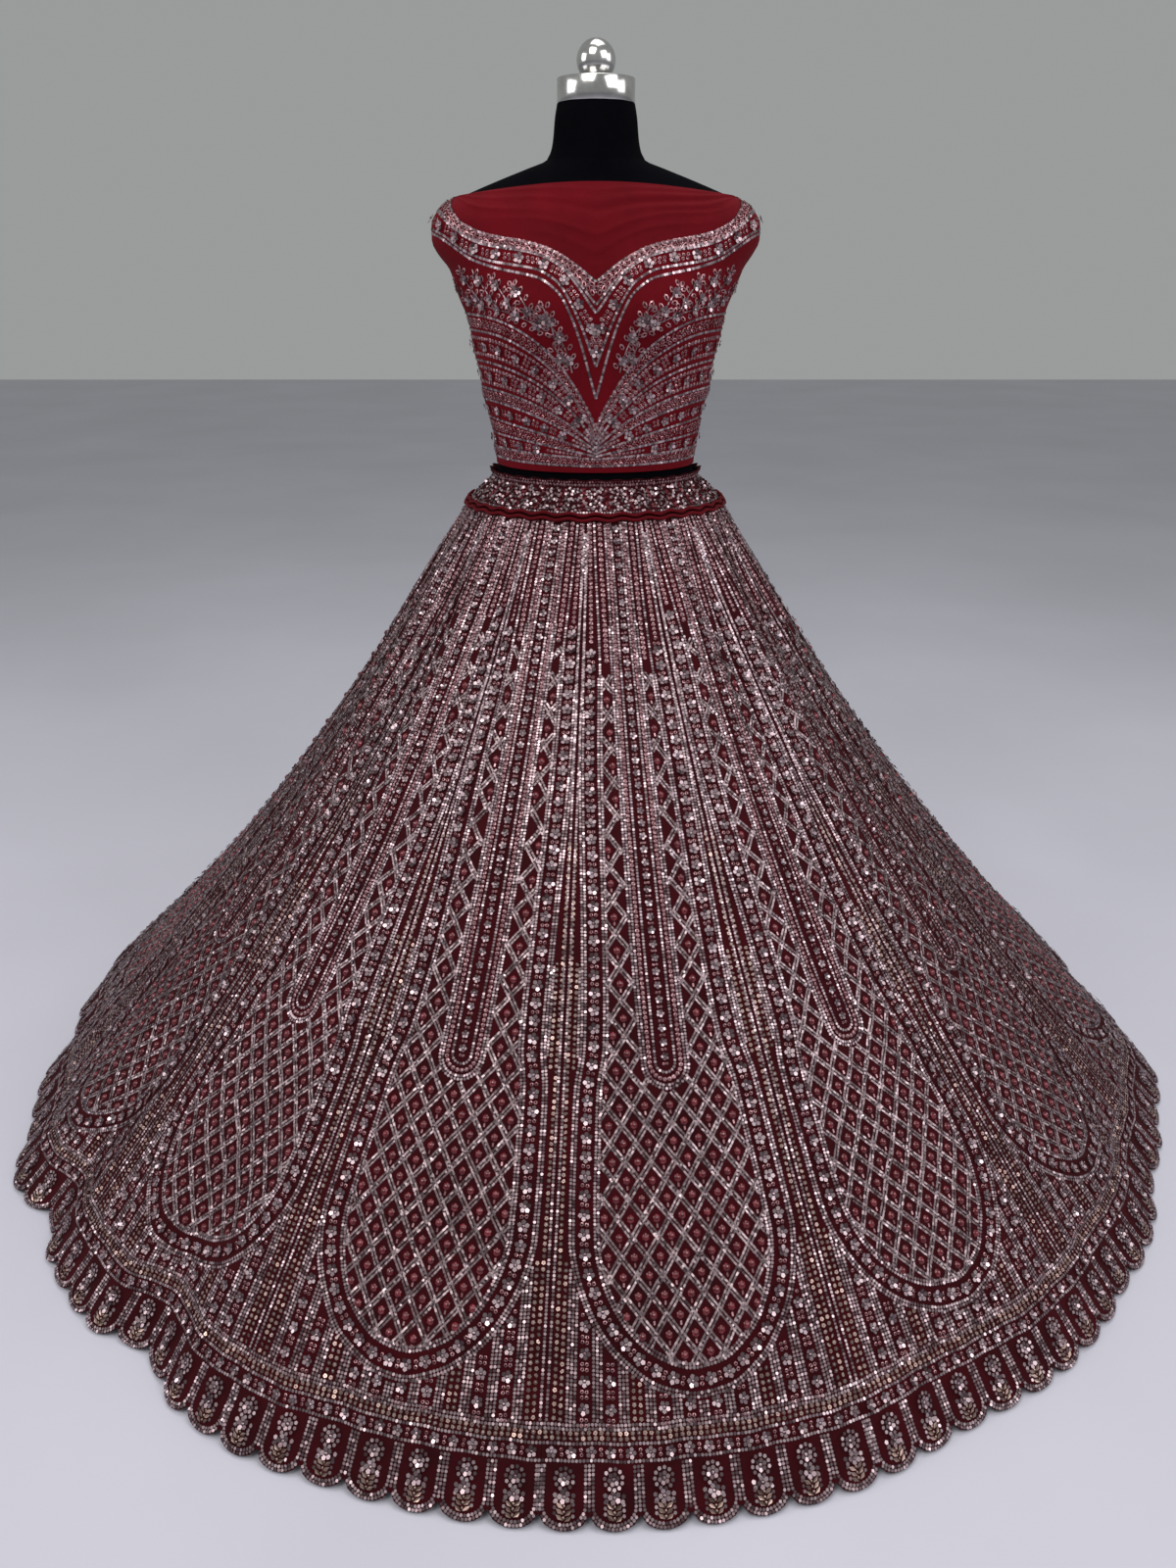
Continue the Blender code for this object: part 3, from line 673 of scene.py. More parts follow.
class Pile:
    """Gathers copies of the templates and joins them into one mesh."""

    def __init__(self):
        self.points = []
        self.loops = []
        self.sizes = []
        self.slots = []
        self.tones_and_glints = []
        self.count = 0

    def add(self, kind, spot, heading, size, slot, lift, tilt):
        """spot is (points, across, up, out); heading turns a copy from across toward up."""
        points, across, up, out = spot
        number = len(points)
        if number == 0:
            return
        size = np.broadcast_to(size, number)
        ahead = np.cos(heading)[:, None] * across + np.sin(heading)[:, None] * up
        left = np.cross(out, ahead)
        lean = rng.normal(0.0, tilt, (number, 2))
        normal = unit(out + lean[:, :1] * ahead + lean[:, 1:] * left)
        ahead = unit(ahead - np.sum(ahead * normal, axis=1, keepdims=True) * normal)
        left = np.cross(normal, ahead)
        shape, faces = TEMPLATES[kind]
        centre = points + lift * out
        scaled = shape[None] * size[:, None, None]
        placed = (
            centre[:, None]
            + scaled[..., 0:1] * ahead[:, None]
            + scaled[..., 1:2] * left[:, None]
            + scaled[..., 2:3] * normal[:, None]
        )
        base = self.count + np.arange(number) * len(shape)
        flat = np.concatenate([np.array(face) for face in faces])
        self.points.append(placed.reshape(-1, 3))
        self.loops.append((base[:, None] + flat[None]).ravel())
        self.sizes.append(np.tile([len(face) for face in faces], number))
        self.slots.append(np.full(number * len(faces), slot))
        # Per-face brightness, mostly dark with a few bright faces: partly random tone of the sequins, partly
        # painted glints.
        self.tones_and_glints.append(rng.beta(1.0, 2.2, number * len(faces)))
        self.count += number * len(shape)

    def finish(self, name):
        points = np.concatenate(self.points)
        loops = np.concatenate(self.loops)
        sizes = np.concatenate(self.sizes)
        starts = np.concatenate([[0], np.cumsum(sizes)[:-1]])
        mesh = bpy.data.meshes.new(name)
        mesh.vertices.add(len(points))
        mesh.vertices.foreach_set("co", points.astype(np.float32).ravel())
        mesh.loops.add(len(loops))
        mesh.loops.foreach_set("vertex_index", loops.astype(np.int32))
        mesh.polygons.add(len(sizes))
        mesh.polygons.foreach_set("loop_start", starts.astype(np.int32))
        model = link(name, mesh, TRIMS)
        mesh.polygons.foreach_set("material_index", np.concatenate(self.slots).astype(np.int32))
        tone_and_glint = mesh.attributes.new("tone_and_glint", "FLOAT", "FACE")
        tone_and_glint.data.foreach_set("value", np.concatenate(self.tones_and_glints).astype(np.float32))
        mesh.update(calc_edges=True)
        return model


class Patch:
    """A piece of cloth to sew on.

    surface turns two arrays, across and along the cloth, into points. steps are the small steps in which
    its slopes are measured, and upward is 1 where the second array grows up the cloth and -1 where it
    grows down. keep says which places may be sewn on.
    """

    def __init__(self, surface, steps, upward, keep):
        self.surface = surface
        self.steps = steps
        self.upward = upward
        self.keep = keep
        self.pile = Pile()

    def slopes(self, places):
        across, along = places[:, 0], places[:, 1]
        side = self.surface(across + self.steps[0], along) - self.surface(across - self.steps[0], along)
        rise = self.surface(across, along + self.steps[1]) - self.surface(across, along - self.steps[1])
        return side / (2.0 * self.steps[0]), rise / (2.0 * self.steps[1])

    def spot(self, places):
        side, rise = self.slopes(places)
        across = unit(side)
        out = unit(np.cross(across, self.upward * rise))
        return self.surface(places[:, 0], places[:, 1]), across, np.cross(out, across), out

    def metres(self, places):
        """Metres for each unit of the two coordinates."""
        side, rise = self.slopes(places)
        return np.stack([np.linalg.norm(side, axis=1), np.linalg.norm(rise, axis=1)], axis=1)

    def resample(self, path, pitch):
        """Even places along a path, with the direction of the path at each."""
        points = self.surface(path[:, 0], path[:, 1])
        run = np.concatenate([[0.0], np.cumsum(np.linalg.norm(np.diff(points, axis=0), axis=1))])
        count = max(int(round(run[-1] / pitch)), 1)
        at = (np.arange(count) + 0.5) * run[-1] / count
        nudge = min(0.002, run[-1] / 4.0)
        places, ahead, behind = (
            np.stack([np.interp(where, run, path[:, 0]), np.interp(where, run, path[:, 1])], axis=1)
            for where in (at, at + nudge, at - nudge)
        )
        way = (ahead - behind) * self.metres(places)
        return places, np.arctan2(self.upward * way[:, 1], way[:, 0])

    def moved(self, places, heading, ahead, left):
        """Places moved by metres along their direction and to the left of it."""
        across = ahead * np.cos(heading) - left * np.sin(heading)
        up = ahead * np.sin(heading) + left * np.cos(heading)
        return places + np.stack([across, self.upward * up], axis=1) / self.metres(places)

    def put(self, kind, places, heading, size, slot, lift=0.0006, tilt=0.14):
        heading = np.broadcast_to(heading, len(places))
        kept = self.keep(places)
        if np.any(kept):
            size = size if np.ndim(size) == 0 else size[kept]
            self.pile.add(kind, self.spot(places[kept]), heading[kept], size, slot, lift, tilt)

    def line(self, path, offset=0.0, slot=0, pitch=LINE_PITCH, size=SEQUIN):
        places, heading = self.resample(path, pitch)
        self.put("sequin", self.moved(places, heading, 0.0, offset), heading, size, slot)

    def lines(self, path, offsets, **values):
        for offset in offsets:
            self.line(path, offset, **values)

    def bead_chain(self, path, gap=0.0034, size=0.0025, pitch=0.0066):
        """Pairs of round sequins, each with a small bead on it."""
        places, heading = self.resample(path, pitch)
        for left in (-gap, gap):
            pair = self.moved(places, heading, 0.0, left)
            self.put("sequin", pair, heading, size, BRONZE_SLOT, 0.0006, 0.22)
            self.put("bead", pair, heading, 0.42 * size, SILVER_SLOT, 0.0009, 0.3)

    def hoop_chain(self, path, size=0.0027):
        places, heading = self.resample(path, 2.1 * size)
        self.put("hoop", places, heading, size, ROSE_SLOT, 0.0006)
        self.put("bead", places, heading, 0.42 * size, SILVER_SLOT, 0.0008, 0.3)

    def ladder(self, path, gap=0.0034, size=0.0029, pitch=0.0070):
        """Pairs of leaning open leaves with a bead between each two pairs."""
        places, heading = self.resample(path, pitch)
        for side in (-1.0, 1.0):
            leaves = self.moved(places, heading, 0.0, side * gap)
            self.put("oval", leaves, heading + side * LEAF_LEAN, size, ROSE_SLOT, 0.0007, 0.2)
        self.put("bead", self.moved(places, heading, 0.5 * pitch, 0.0), heading, 0.42 * size, SILVER_SLOT)

    def flower_chain(self, path, pitch=0.0205, size=0.0068, pairs=1):
        """Five-petalled flowers with pairs of rings between each two."""
        places, heading = self.resample(path, pitch)
        turned = heading + rng.uniform(-0.6, 0.6, len(places))
        self.put("flower", places, turned, size, SILVER_SLOT, 0.0007, 0.10)
        for pair in range(pairs):
            ahead = 0.5 * pitch + (pair - 0.5 * (pairs - 1)) * 0.86 * size
            for left in (-0.40, 0.40):
                rings = self.moved(places, heading, ahead, left * size)
                self.put("hoop", rings, heading, 0.36 * size, ROSE_SLOT, 0.0007)


def mirrored(path):
    return path * np.array([-1.0, 1.0])


def both_sides(sew, path, *values, **named):
    sew(path, *values, **named)
    sew(mirrored(path), *values, **named)


# One panel's embroidery

DROPS = np.linspace(0.0, 1.0, 801)
PROFILE = np.stack([skirt_radius(DROPS), (SKIRT_TOP_Z - HEM_Z) * (1.0 - DROPS)], axis=1)
SLANTS = np.concatenate([[0.0], np.cumsum(np.hypot(*np.diff(PROFILE, axis=0).T))])
HALF_TURN = math.radians(0.5 * KALI_TURN)


def slant_of(drop):
    return np.interp(drop, DROPS, SLANTS)


def drop_of(slant):
    return np.interp(slant, SLANTS, DROPS)


def panel_half(drop):
    return skirt_radius(drop) * HALF_TURN


def teardrop_half(name, drop):
    """Half-width of one of the teardrop's outlines, with a round foot."""
    foot = (np.clip(drop, FOOT_START, None) - FOOT_START) / (TEARDROP_FEET[name] - FOOT_START)
    return TEARDROP_SHAPE[name](np.minimum(drop, FOOT_START)) * np.sqrt(np.clip(1.0 - foot * foot, 0.0, 1.0))


def side_path(half_of, start, end, points=160):
    """The path at half_of(drop) to the right of the middle."""
    drop = np.linspace(start, end, points)
    return np.stack([half_of(drop), slant_of(drop)], axis=1)


def looped(right):
    """Up the mirrored left side and back down the right one, as one path through the middle."""
    return np.concatenate([mirrored(right), right[::-1][1:]])


def loop_path(name, start):
    """Down the left side of the teardrop from start, round its foot and up the right side."""
    turn = np.linspace(0.0, 0.5 * np.pi, 80)[1:]
    drop = np.concatenate(
        [np.linspace(start, FOOT_START, 260), FOOT_START + (TEARDROP_FEET[name] - FOOT_START) * np.sin(turn)]
    )
    return looped(np.stack([teardrop_half(name, drop), slant_of(drop)], axis=1))


def tongue_path(share):
    """A long U about the middle; share 1 is its outermost line."""
    half = share * TONGUE_HALF(TONGUE_FOOT)
    foot = slant_of(TONGUE_FOOT) - (1.0 - share) * TONGUE_STEP
    drop = np.linspace(LINES_START, float(drop_of(foot - half)), 160)
    turn = np.linspace(0.0, 0.5 * np.pi, 12)[1:]
    straight = np.stack([share * TONGUE_HALF(drop), slant_of(drop)], axis=1)
    reach = foot - straight[-1, 1]
    bend = np.stack([straight[-1, 0] * np.cos(turn), straight[-1, 1] + reach * np.sin(turn)], axis=1)
    return looped(np.concatenate([straight, bend]))


def in_panel(places):
    return np.abs(places[:, 0]) < panel_half(drop_of(places[:, 1])) - EDGE_MARGIN


def in_lattice(places, horn_top, margin=0.0):
    drop = drop_of(places[:, 1])
    across = np.abs(places[:, 0])
    tongue = TONGUE_HALF(drop) + 0.0035 + margin
    below = places[:, 1] - (slant_of(TONGUE_FOOT) - TONGUE_HALF(TONGUE_FOOT))
    clear = np.where(below < 0.0, across > tongue, np.hypot(across, below) > tongue)
    return (drop > horn_top) & clear & (across < teardrop_half("lattice", drop) - EDGE_MARGIN - margin)


def outside_teardrop(margin):
    def keep(places):
        drop = drop_of(places[:, 1])
        beyond = np.abs(places[:, 0]) > teardrop_half("outline", drop) + margin
        return in_panel(places) & (beyond | (drop > TEARDROP_FEET["outline"] + 0.9 * margin))

    return keep


def sew_lattice(patch, horn_top):
    """Crossing doubled lines with a faceted drop in each diamond."""
    foot = slant_of(TEARDROP_FEET["lattice"])
    edge = math.hypot(0.5 * CELL_WIDTH, 0.5 * CELL_HEIGHT)
    across, down = 0.5 * CELL_WIDTH / edge, 0.5 * CELL_HEIGHT / edge
    reach = int(foot / CELL_HEIGHT) + 6
    run = np.arange(0.0, foot / down, BUGLE_PITCH)
    starts = (np.arange(-reach, reach + 1) + 0.5) * CELL_WIDTH
    for lean in (-1.0, 1.0):
        heading = math.atan2(-down, -lean * across)
        for start in starts * lean:
            places = np.stack([start - lean * run * across, run * down], axis=1)
            places = places[in_lattice(places, horn_top)]
            if len(places) == 0:
                continue
            for left in (-LATTICE_GAP, LATTICE_GAP):
                row = places + left * np.array([-math.sin(heading), -math.cos(heading)])
                patch.put("bugle", row, heading, 0.0021, ZARI_SLOT, 0.0006, 0.16)
            bright = places[rng.uniform(size=len(places)) < 0.30]
            patch.put("sequin", bright, heading, 0.0015, SILVER_SLOT, 0.0009, 0.25)
    row, column = np.mgrid[0 : int(2 * foot / CELL_HEIGHT) + 2, -7:8]
    cells = np.stack([(column + 0.5 * (row % 2)) * CELL_WIDTH, 0.5 * row * CELL_HEIGHT], axis=-1)
    cells = cells.reshape(-1, 2)
    cells = cells[in_lattice(cells, horn_top, margin=0.0045)]
    upright = 0.5 * np.pi
    patch.put("drop", cells, upright, 0.0044, RUBY_SLOT, 0.0004, 0.08)
    patch.put("bar", cells + np.array([0.0, 0.0078]), upright, 0.0021, ROSE_SLOT, 0.0004, 0.05)
    # A pale rose bead set on each drop as its painted highlight.
    patch.put("bead", cells + np.array([0.0004, -0.0006]), 0.0, 0.0017, ROSE_SLOT, 0.0024, 0.3)


def stripe_path(degree, start, end, points=160):
    """Down a panel at a set azimuth, in degrees from its middle."""
    share = degree / (0.5 * KALI_TURN)
    return side_path(lambda drop: share * panel_half(drop), start, end, points)


def sew_columns(patch):
    """Radial stripes outside the teardrop: chains on the odd degrees, lines on the even ones."""
    for degree in range(-11, 12):
        if degree % 2:
            path = stripe_path(degree, COLUMNS_START, COLUMNS_END, 240)
            patch.keep = outside_teardrop(0.0075)
            if abs(degree) in (5, 11):
                patch.bead_chain(path)
            else:
                patch.flower_chain(path, pitch=0.0265, size=0.0062, pairs=2)
        else:
            patch.keep = outside_teardrop(0.0045)
            patch.lines(stripe_path(degree, COLUMNS_START, LINES_SPREAD), (-0.0020, 0.0020))
            near_hem = stripe_path(degree, LINES_SPREAD, COLUMNS_END, 60)
            patch.lines(near_hem, (-0.0040, 0.0, 0.0040))
    patch.keep = in_panel
    seam = side_path(lambda drop: panel_half(drop) - 0.0033, COLUMNS_START, COLUMNS_END, 240)
    both_sides(patch.line, seam)


def sew_outline(patch, path, doubled_from):
    """A single line above a given drop and a doubled one below it."""
    start = float(slant_of(doubled_from))
    patch.keep = lambda places: in_panel(places) & (places[:, 1] < start)
    patch.line(path)
    patch.keep = lambda places: in_panel(places) & (places[:, 1] >= start)
    patch.lines(path, (-DOUBLE_GAP, DOUBLE_GAP))
    patch.keep = in_panel


def strip_middle(drop):
    """Half-way between the lattice's edge and the tongue."""
    return 0.5 * (teardrop_half("lattice", drop) + TONGUE_HALF(drop))


def sew_teardrop(patch, horn_top):
    """The teardrop's two outlines and its chains; horn_top is the drop where the lattice begins."""
    sew_outline(patch, loop_path("outline", LINES_START), horn_top + 0.05)
    patch.flower_chain(loop_path("chain", horn_top - 0.025))
    above = side_path(lambda drop: teardrop_half("chain", drop), LINES_START, horn_top - 0.029)
    both_sides(patch.hoop_chain, above, size=0.0029)
    sew_outline(patch, loop_path("lattice", LINES_START), horn_top + 0.01)
    between = side_path(strip_middle, LINES_START, horn_top - 0.006)
    both_sides(patch.hoop_chain, between, size=0.0032)


def sew_tongue(patch):
    sew_outline(patch, tongue_path(1.0), 0.14)
    patch.hoop_chain(tongue_path(0.72))
    patch.line(tongue_path(0.46))
    middle = side_path(lambda drop: 0.0 * drop, 0.008, TONGUE_FOOT - 0.022)
    patch.flower_chain(middle, pitch=0.0165, size=0.0048)


def level_path(slant):
    across = np.linspace(-1.0, 1.0, 80) * panel_half(drop_of(slant))
    return np.stack([across, np.full(80, slant)], axis=1)


def sew_border(patch):
    """Level rows above the tabs."""
    top = float(slant_of(BORDER_TOP))
    step = (float(slant_of(TABS_TOP)) - top) / BORDER_STEPS
    patch.lines(level_path(top), (-0.0020, 0.0020))
    patch.bead_chain(level_path(top + 1.45 * step), gap=0.0025)
    patch.line(level_path(top + 2.75 * step))
    patch.flower_chain(level_path(top + 4.2 * step), pitch=0.0212, size=0.0058)
    patch.line(level_path(top + BORDER_STEPS * step))


def fanned(places):
    """Places laid out at the hem's width, drawn in as the panel narrows above it."""
    narrowing = panel_half(drop_of(places[:, 1])) / panel_half(1.0)
    return np.stack([places[:, 0] * narrowing, places[:, 1]], axis=1)


def tab_path(middle, half, foot):
    """A U-shaped outline, from its top left round to its top right."""
    turn = np.linspace(0.0, 0.5 * np.pi, 10)
    depth = 0.75 * half
    curve = np.stack([half * np.cos(turn), foot - depth + depth * np.sin(turn)], axis=1)
    start = np.array([[half, float(slant_of(TABS_TOP)) + 0.003]])
    return fanned(looped(np.concatenate([start, curve])) + np.array([middle, 0.0]))


def sew_tabs(patch):
    """Each scallop: a doubled U, a rosette, a flower and a leafy sprig."""
    hem = float(slant_of(1.0))
    pitch = 2.0 * panel_half(1.0) / TABS_PER_KALI
    for number in range(TABS_PER_KALI):
        middle = (number - 0.5 * (TABS_PER_KALI - 1)) * pitch
        patch.line(tab_path(middle, 0.5 * pitch - 0.0041, hem - 0.0054))
        rim = tab_path(middle, 0.5 * pitch - 0.0018, hem - 0.0018)
        patch.line(rim[rim[:, 1] > hem - 0.0165])
        rosette = fanned(np.array([[middle, hem - 0.0470]]))
        patch.put("rosette", rosette, 0.3, 0.0114, SILVER_SLOT, 0.0008, 0.06)
        flower_below = fanned(np.array([[middle, hem - 0.0305]]))
        patch.put("flower", flower_below, 1.9, 0.0068, SILVER_SLOT, 0.0007, 0.06)
        beside = np.array([(-0.0098, -0.0318), (0.0098, -0.0318), (-0.0086, -0.0268), (0.0086, -0.0268)])
        patch.put("sequin", fanned(beside + np.array([middle, hem])), 0.4, 0.0025, SILVER_SLOT, 0.0007)
        stem = fanned(np.array([[middle, hem - 0.0245], [middle, hem - 0.0090]]))
        places, heading = patch.resample(stem, 0.0055)
        patch.put("bead", places, heading, 0.0017, BRONZE_SLOT)
        for side in (-1.0, 1.0):
            leaves = patch.moved(places, heading, 0.0, side * 0.0046)
            patch.put("leaf", leaves, -0.5 * np.pi + side * 2.2, 0.0046, BRONZE_SLOT, 0.0007)
            tips = patch.moved(places, heading, -0.0030, side * 0.0096)
            patch.put("sequin", tips, heading, 0.0020, SILVER_SLOT, 0.0007)
    ends = (np.arange(TABS_PER_KALI + 1) - 0.5 * TABS_PER_KALI) * pitch
    ends = np.clip(ends, -panel_half(1.0) + 0.0016, panel_half(1.0) - 0.0016)
    for across in ends:
        between = np.array([[across, float(slant_of(TABS_TOP)) + 0.003], [across, hem - 0.017]])
        patch.line(fanned(between))


def make_kali(number):
    centre = FIRST_KALI_CENTRE + KALI_TURN * (number - 1 - KALI_COUNT // 2)
    node_name = f"kali_{number:02d}"
    columns = TABS_PER_KALI * COLUMNS_PER_TAB
    upper = np.linspace(0.0, CLOTH_TABS_TOP, 46)
    lower = np.linspace(0.0, 1.0, 6)[1:]
    radius = skirt_radius(np.concatenate([upper, np.ones(len(lower))]))
    half = np.degrees(0.5 * KALI_GAP / (WAIST_DEPTH_RATIO * radius))
    share = np.linspace(-1.0, 1.0, columns + 1)
    azimuths = centre + share[None] * (0.5 * KALI_TURN - half[:, None])
    in_tab = (np.arange(columns + 1) % COLUMNS_PER_TAB) / (0.5 * COLUMNS_PER_TAB) - 1.0
    edge = 1.0 - NOTCH_DROP * (1.0 - np.sqrt(1.0 - (0.985 * in_tab) ** 2))
    upper_rows = np.repeat(upper[:, None], columns + 1, axis=1)
    lower_rows = CLOTH_TABS_TOP + lower[:, None] * (edge[None] - CLOTH_TABS_TOP)
    drops = np.concatenate([upper_rows, lower_rows])
    shell = cloth_shell(f"{node_name}_cloth", skirt_point, azimuths, drops, GROUND)
    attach(shell, "root")
    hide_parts(node_name)

    def surface(across, slant):
        drop = drop_of(slant)
        return skirt_point(centre + np.degrees(across / skirt_radius(drop)), drop)

    patch = Patch(surface, (0.0010, 0.0010), -1.0, in_panel)
    horn_top = HORN_TOP + HORN_STEP * (number % 3 - 1)
    sew_lattice(patch, horn_top)
    sew_columns(patch)
    sew_teardrop(patch, horn_top)
    sew_tongue(patch)
    sew_border(patch)
    sew_tabs(patch)
    trims = patch.pile.finish(f"{node_name}_sequins")
    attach(trims, "root")


for kali in range(1, KALI_COUNT + 1):
    make_kali(kali)


# Waistband and piping


def make_waistband(name, middle):
    azimuths = np.linspace(middle - 90.0, middle + 90.0, GATHER_COUNT * 4 + 1)
    heights = np.linspace(BAND_TOP_Z, BAND_BOTTOM_Z, 14)
    grid_azimuths = np.repeat(azimuths[None], len(heights), axis=0)
    grid_heights = np.repeat(heights[:, None], len(azimuths), axis=1)
    band = cloth_shell(f"{name}_cloth", waistband_point, grid_azimuths, grid_heights, GROUND)
    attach(band, "root")
    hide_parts(name)

    def near(places):
        return np.abs(places[:, 0] - middle) < 89.7

    patch = Patch(waistband_point, (0.2, 0.0008), 1.0, near)
    height = BAND_TOP_Z - BAND_BOTTOM_Z
    turn = np.linspace(middle - 90.0, middle + 90.0, 400)

    def level(share):
        return np.stack([turn, np.full(400, BAND_BOTTOM_Z + share * height)], axis=1)

    patch.line(level(0.95), slot=ROSE_SLOT, size=0.0014)
    patch.hoop_chain(level(0.85), size=0.0023)
    patch.line(level(0.10), size=0.0017)
    gather = 360.0 / GATHER_COUNT
    crests = middle - 90.0 + gather * np.arange(GATHER_COUNT // 2 + 1)
    count = len(crests)
    for offset in np.arange(-0.45, 0.5, 0.10):
        for share in np.arange(0.18, 0.76, 0.105):
            shift = rng.uniform(-0.05, 0.05, (count, 2))
            azimuth = crests + gather * (offset + shift[:, 0])
            z = BAND_BOTTOM_Z + height * (share + shift[:, 1])
            # Sequins near the gathers' crests are silver and those nearest the valleys dark ruby: painted
            # shade in the valleys of the gathers.
            slot = SILVER_SLOT if abs(offset) < 0.38 else RUBY_SLOT
            places, heading = np.stack([azimuth, z], axis=1), rng.uniform(0.0, 6.28, count)
            patch.put("sequin", places, heading, 0.0020, slot, 0.0008, 0.30)
    trims = patch.pile.finish(f"{name}_sequins")
    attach(trims, "root")


make_waistband("waistband_front", 0.0)
make_waistband("waistband_back", 180.0)


def tube_faces(rings, sides, first=0, closed=False):
    """Faces between rings of points; a closed tube joins its last ring to its first."""
    faces = []
    for ring in range(rings if closed else rings - 1):
        near, far = first + ring * sides, first + (ring + 1) % rings * sides
        for side in range(sides):
            after = (side + 1) % sides
            faces.append((near + side, far + side, far + after, near + after))
    return faces


def make_piping(name, surface, place_of, step, down):
    """A smooth cord on the seam; down is 1 where place grows down the cloth and -1 where it grows up."""
    count, sides = 8 * GATHER_COUNT, 8
    azimuth = np.arange(count) * 360.0 / count
    wave = PIPING_WAVE * np.cos(np.radians(GATHER_COUNT * azimuth))
    place = place_of(wave)
    seat = surface(azimuth, place)
    along = unit(surface(azimuth + 0.25, place) - surface(azimuth - 0.25, place))
    level = unit(np.stack([along[:, 1], -along[:, 0], 0.0 * azimuth], axis=1))
    below = surface(azimuth, place + down * step) - surface(azimuth, place - down * step)
    spread = np.linalg.norm(below, axis=1) / np.abs(below[:, 2])
    centre = seat + level * ((PIPING_RADIUS + PIPING_CLEARANCE) * spread)[:, None]
    up = np.array([0.0, 0.0, 1.0])
    points = []
    for side in range(sides):
        angle = 2.0 * math.pi * side / sides
        points.append(centre + PIPING_RADIUS * (math.cos(angle) * level + math.sin(angle) * up))
    points = np.stack(points, axis=1).reshape(-1, 3).tolist()
    faces = tube_faces(count, sides, closed=True)
    cord = link(f"{name}_cord", smooth_mesh(name, points, faces), [CORD])
    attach(cord, "root")
    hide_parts(name)


def drop_at(height):
    return 1.0 - (height - HEM_Z) / (SKIRT_TOP_Z - HEM_Z)


make_piping("waist_piping_upper", waistband_point, lambda wave: UPPER_PIPING_Z + wave, 0.001, -1.0)
make_piping("waist_piping_lower", skirt_point, lambda wave: drop_at(LOWER_PIPING_Z + wave), 0.001, 1.0)


# Choli


def choli_grid(start, end, columns, rows, top_of):
    azimuths = np.linspace(start, end, columns + 1)
    tops = top_of(azimuths)
    shares = np.linspace(0.0, 1.0, rows + 1) ** 1.15
    places = tops[None] + (CHOLI_HEM_Z - tops[None]) * shares[:, None]
    return np.repeat(azimuths[None], rows + 1, axis=0), places


def make_panel(name, surface, grid, material):
    shell = cloth_shell(f"{name}_cloth", surface, *grid, material)
    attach(shell, "root")
    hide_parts(name)


def back_top(azimuths):
    return np.full(len(azimuths), CHOLI_TOP_Z - NECK_SEAM)


# Lower line of the neckline's band on the choli's front, metres across from the middle and up from the floor
BAND_PATH = (
    (0.2076, 1.2240),
    (0.1990, 1.2205),
    (0.1830, 1.2116),
    (0.1544, 1.1930),
    (0.1215, 1.1820),
    (0.0924, 1.1760),
    (0.0667, 1.1705),
    (0.0442, 1.1530),
    (0.0274, 1.1190),
    (0.0161, 1.0868),
    (0.0, 1.0304),
)
# Lines that fan out from the middle of the choli to its sides
ARC_COLUMNS = ("side_z", "middle_z", "power")
ARCS = (
    (1.1290, 0.9910, 2.55),
    (1.1100, 0.9800, 2.45),
    (1.0725, 0.9740, 2.15),
    (1.0390, 0.9690, 1.90),
    (1.0240, 0.9650, 1.70),
    (1.0005, 0.9615, 1.40),
    (0.9820, 0.9580, 1.25),
    (0.9625, 0.9545, 1.20),
    (0.9480, 0.9455, 1.20),
)
# Heights of the flowers in the point of the neckline's band
V_FLOWERS = (1.112, 1.086)
SPRAY_COLUMNS = ("start_x", "start_z", "bend_x", "bend_z", "end_x", "end_z")
SPRAYS = (
    (0.030, 1.062, 0.041, 1.114, 0.078, 1.134),
    (0.060, 1.112, 0.100, 1.136, 0.150, 1.140),
    (0.052, 1.102, 0.056, 1.124, 0.068, 1.142),
    (0.078, 1.122, 0.086, 1.146, 0.104, 1.164),
    (0.100, 1.132, 0.112, 1.154, 0.130, 1.172),
    (0.122, 1.137, 0.136, 1.158, 0.152, 1.178),
    (0.138, 1.140, 0.156, 1.154, 0.170, 1.184),
    (0.034, 1.066, 0.048, 1.080, 0.052, 1.096),
    (0.150, 1.140, 0.166, 1.146, 0.180, 1.168),
)


def azimuth_at(x, z):
    share = np.clip(np.abs(x) / FORM["half_width"](z), 0.0, 1.0)
    return np.degrees(np.arcsin(share ** (1.0 / FORM["power"](z)))) * np.sign(x)


def rounded(path, count=120):
    """A path through a few points, evenly stepped and softened at its corners."""
    run = np.concatenate([[0.0], np.cumsum(np.hypot(*np.diff(path, axis=0).T))])
    at = np.linspace(0.0, run[-1], count)
    line = np.stack([np.interp(at, run, path[:, 0]), np.interp(at, run, path[:, 1])], axis=1)
    for _ in range(16):
        line[1:-1] = 0.5 * line[1:-1] + 0.25 * (line[:-2] + line[2:])
    return line


BAND_LINE = rounded(np.array(BAND_PATH))
BAND_LINE = np.stack([azimuth_at(BAND_LINE[:, 0], BAND_LINE[:, 1]), BAND_LINE[:, 1]], axis=1)
BAND_LINE[0, 0] = SIDE_AZIMUTH


def between_paths(side_share, middle_share):
    """A line between the neckline and the lower line of its band, from the side seam to the middle."""
    turn = SIDE_AZIMUTH * np.linspace(1.0, 0.0, 240) ** 2
    band_z = np.interp(turn, BAND_LINE[::-1, 0], BAND_LINE[::-1, 1])
    share = side_share + (middle_share - side_share) * (1.0 - turn / SIDE_AZIMUTH) ** 1.4
    return np.stack([turn, NECK_Z(turn) * (1.0 - share) + band_z * share], axis=1)


def arc_path(row, start=0.0, end=SIDE_AZIMUTH):
    arc = dict(zip(ARC_COLUMNS, row))
    turn = np.linspace(start, end, 120)
    across = np.sin(np.radians(turn)) ** 0.9
    z = arc["middle_z"] + (arc["side_z"] - arc["middle_z"]) * (1.0 - (1.0 - across) ** arc["power"])
    return np.stack([turn, z], axis=1)


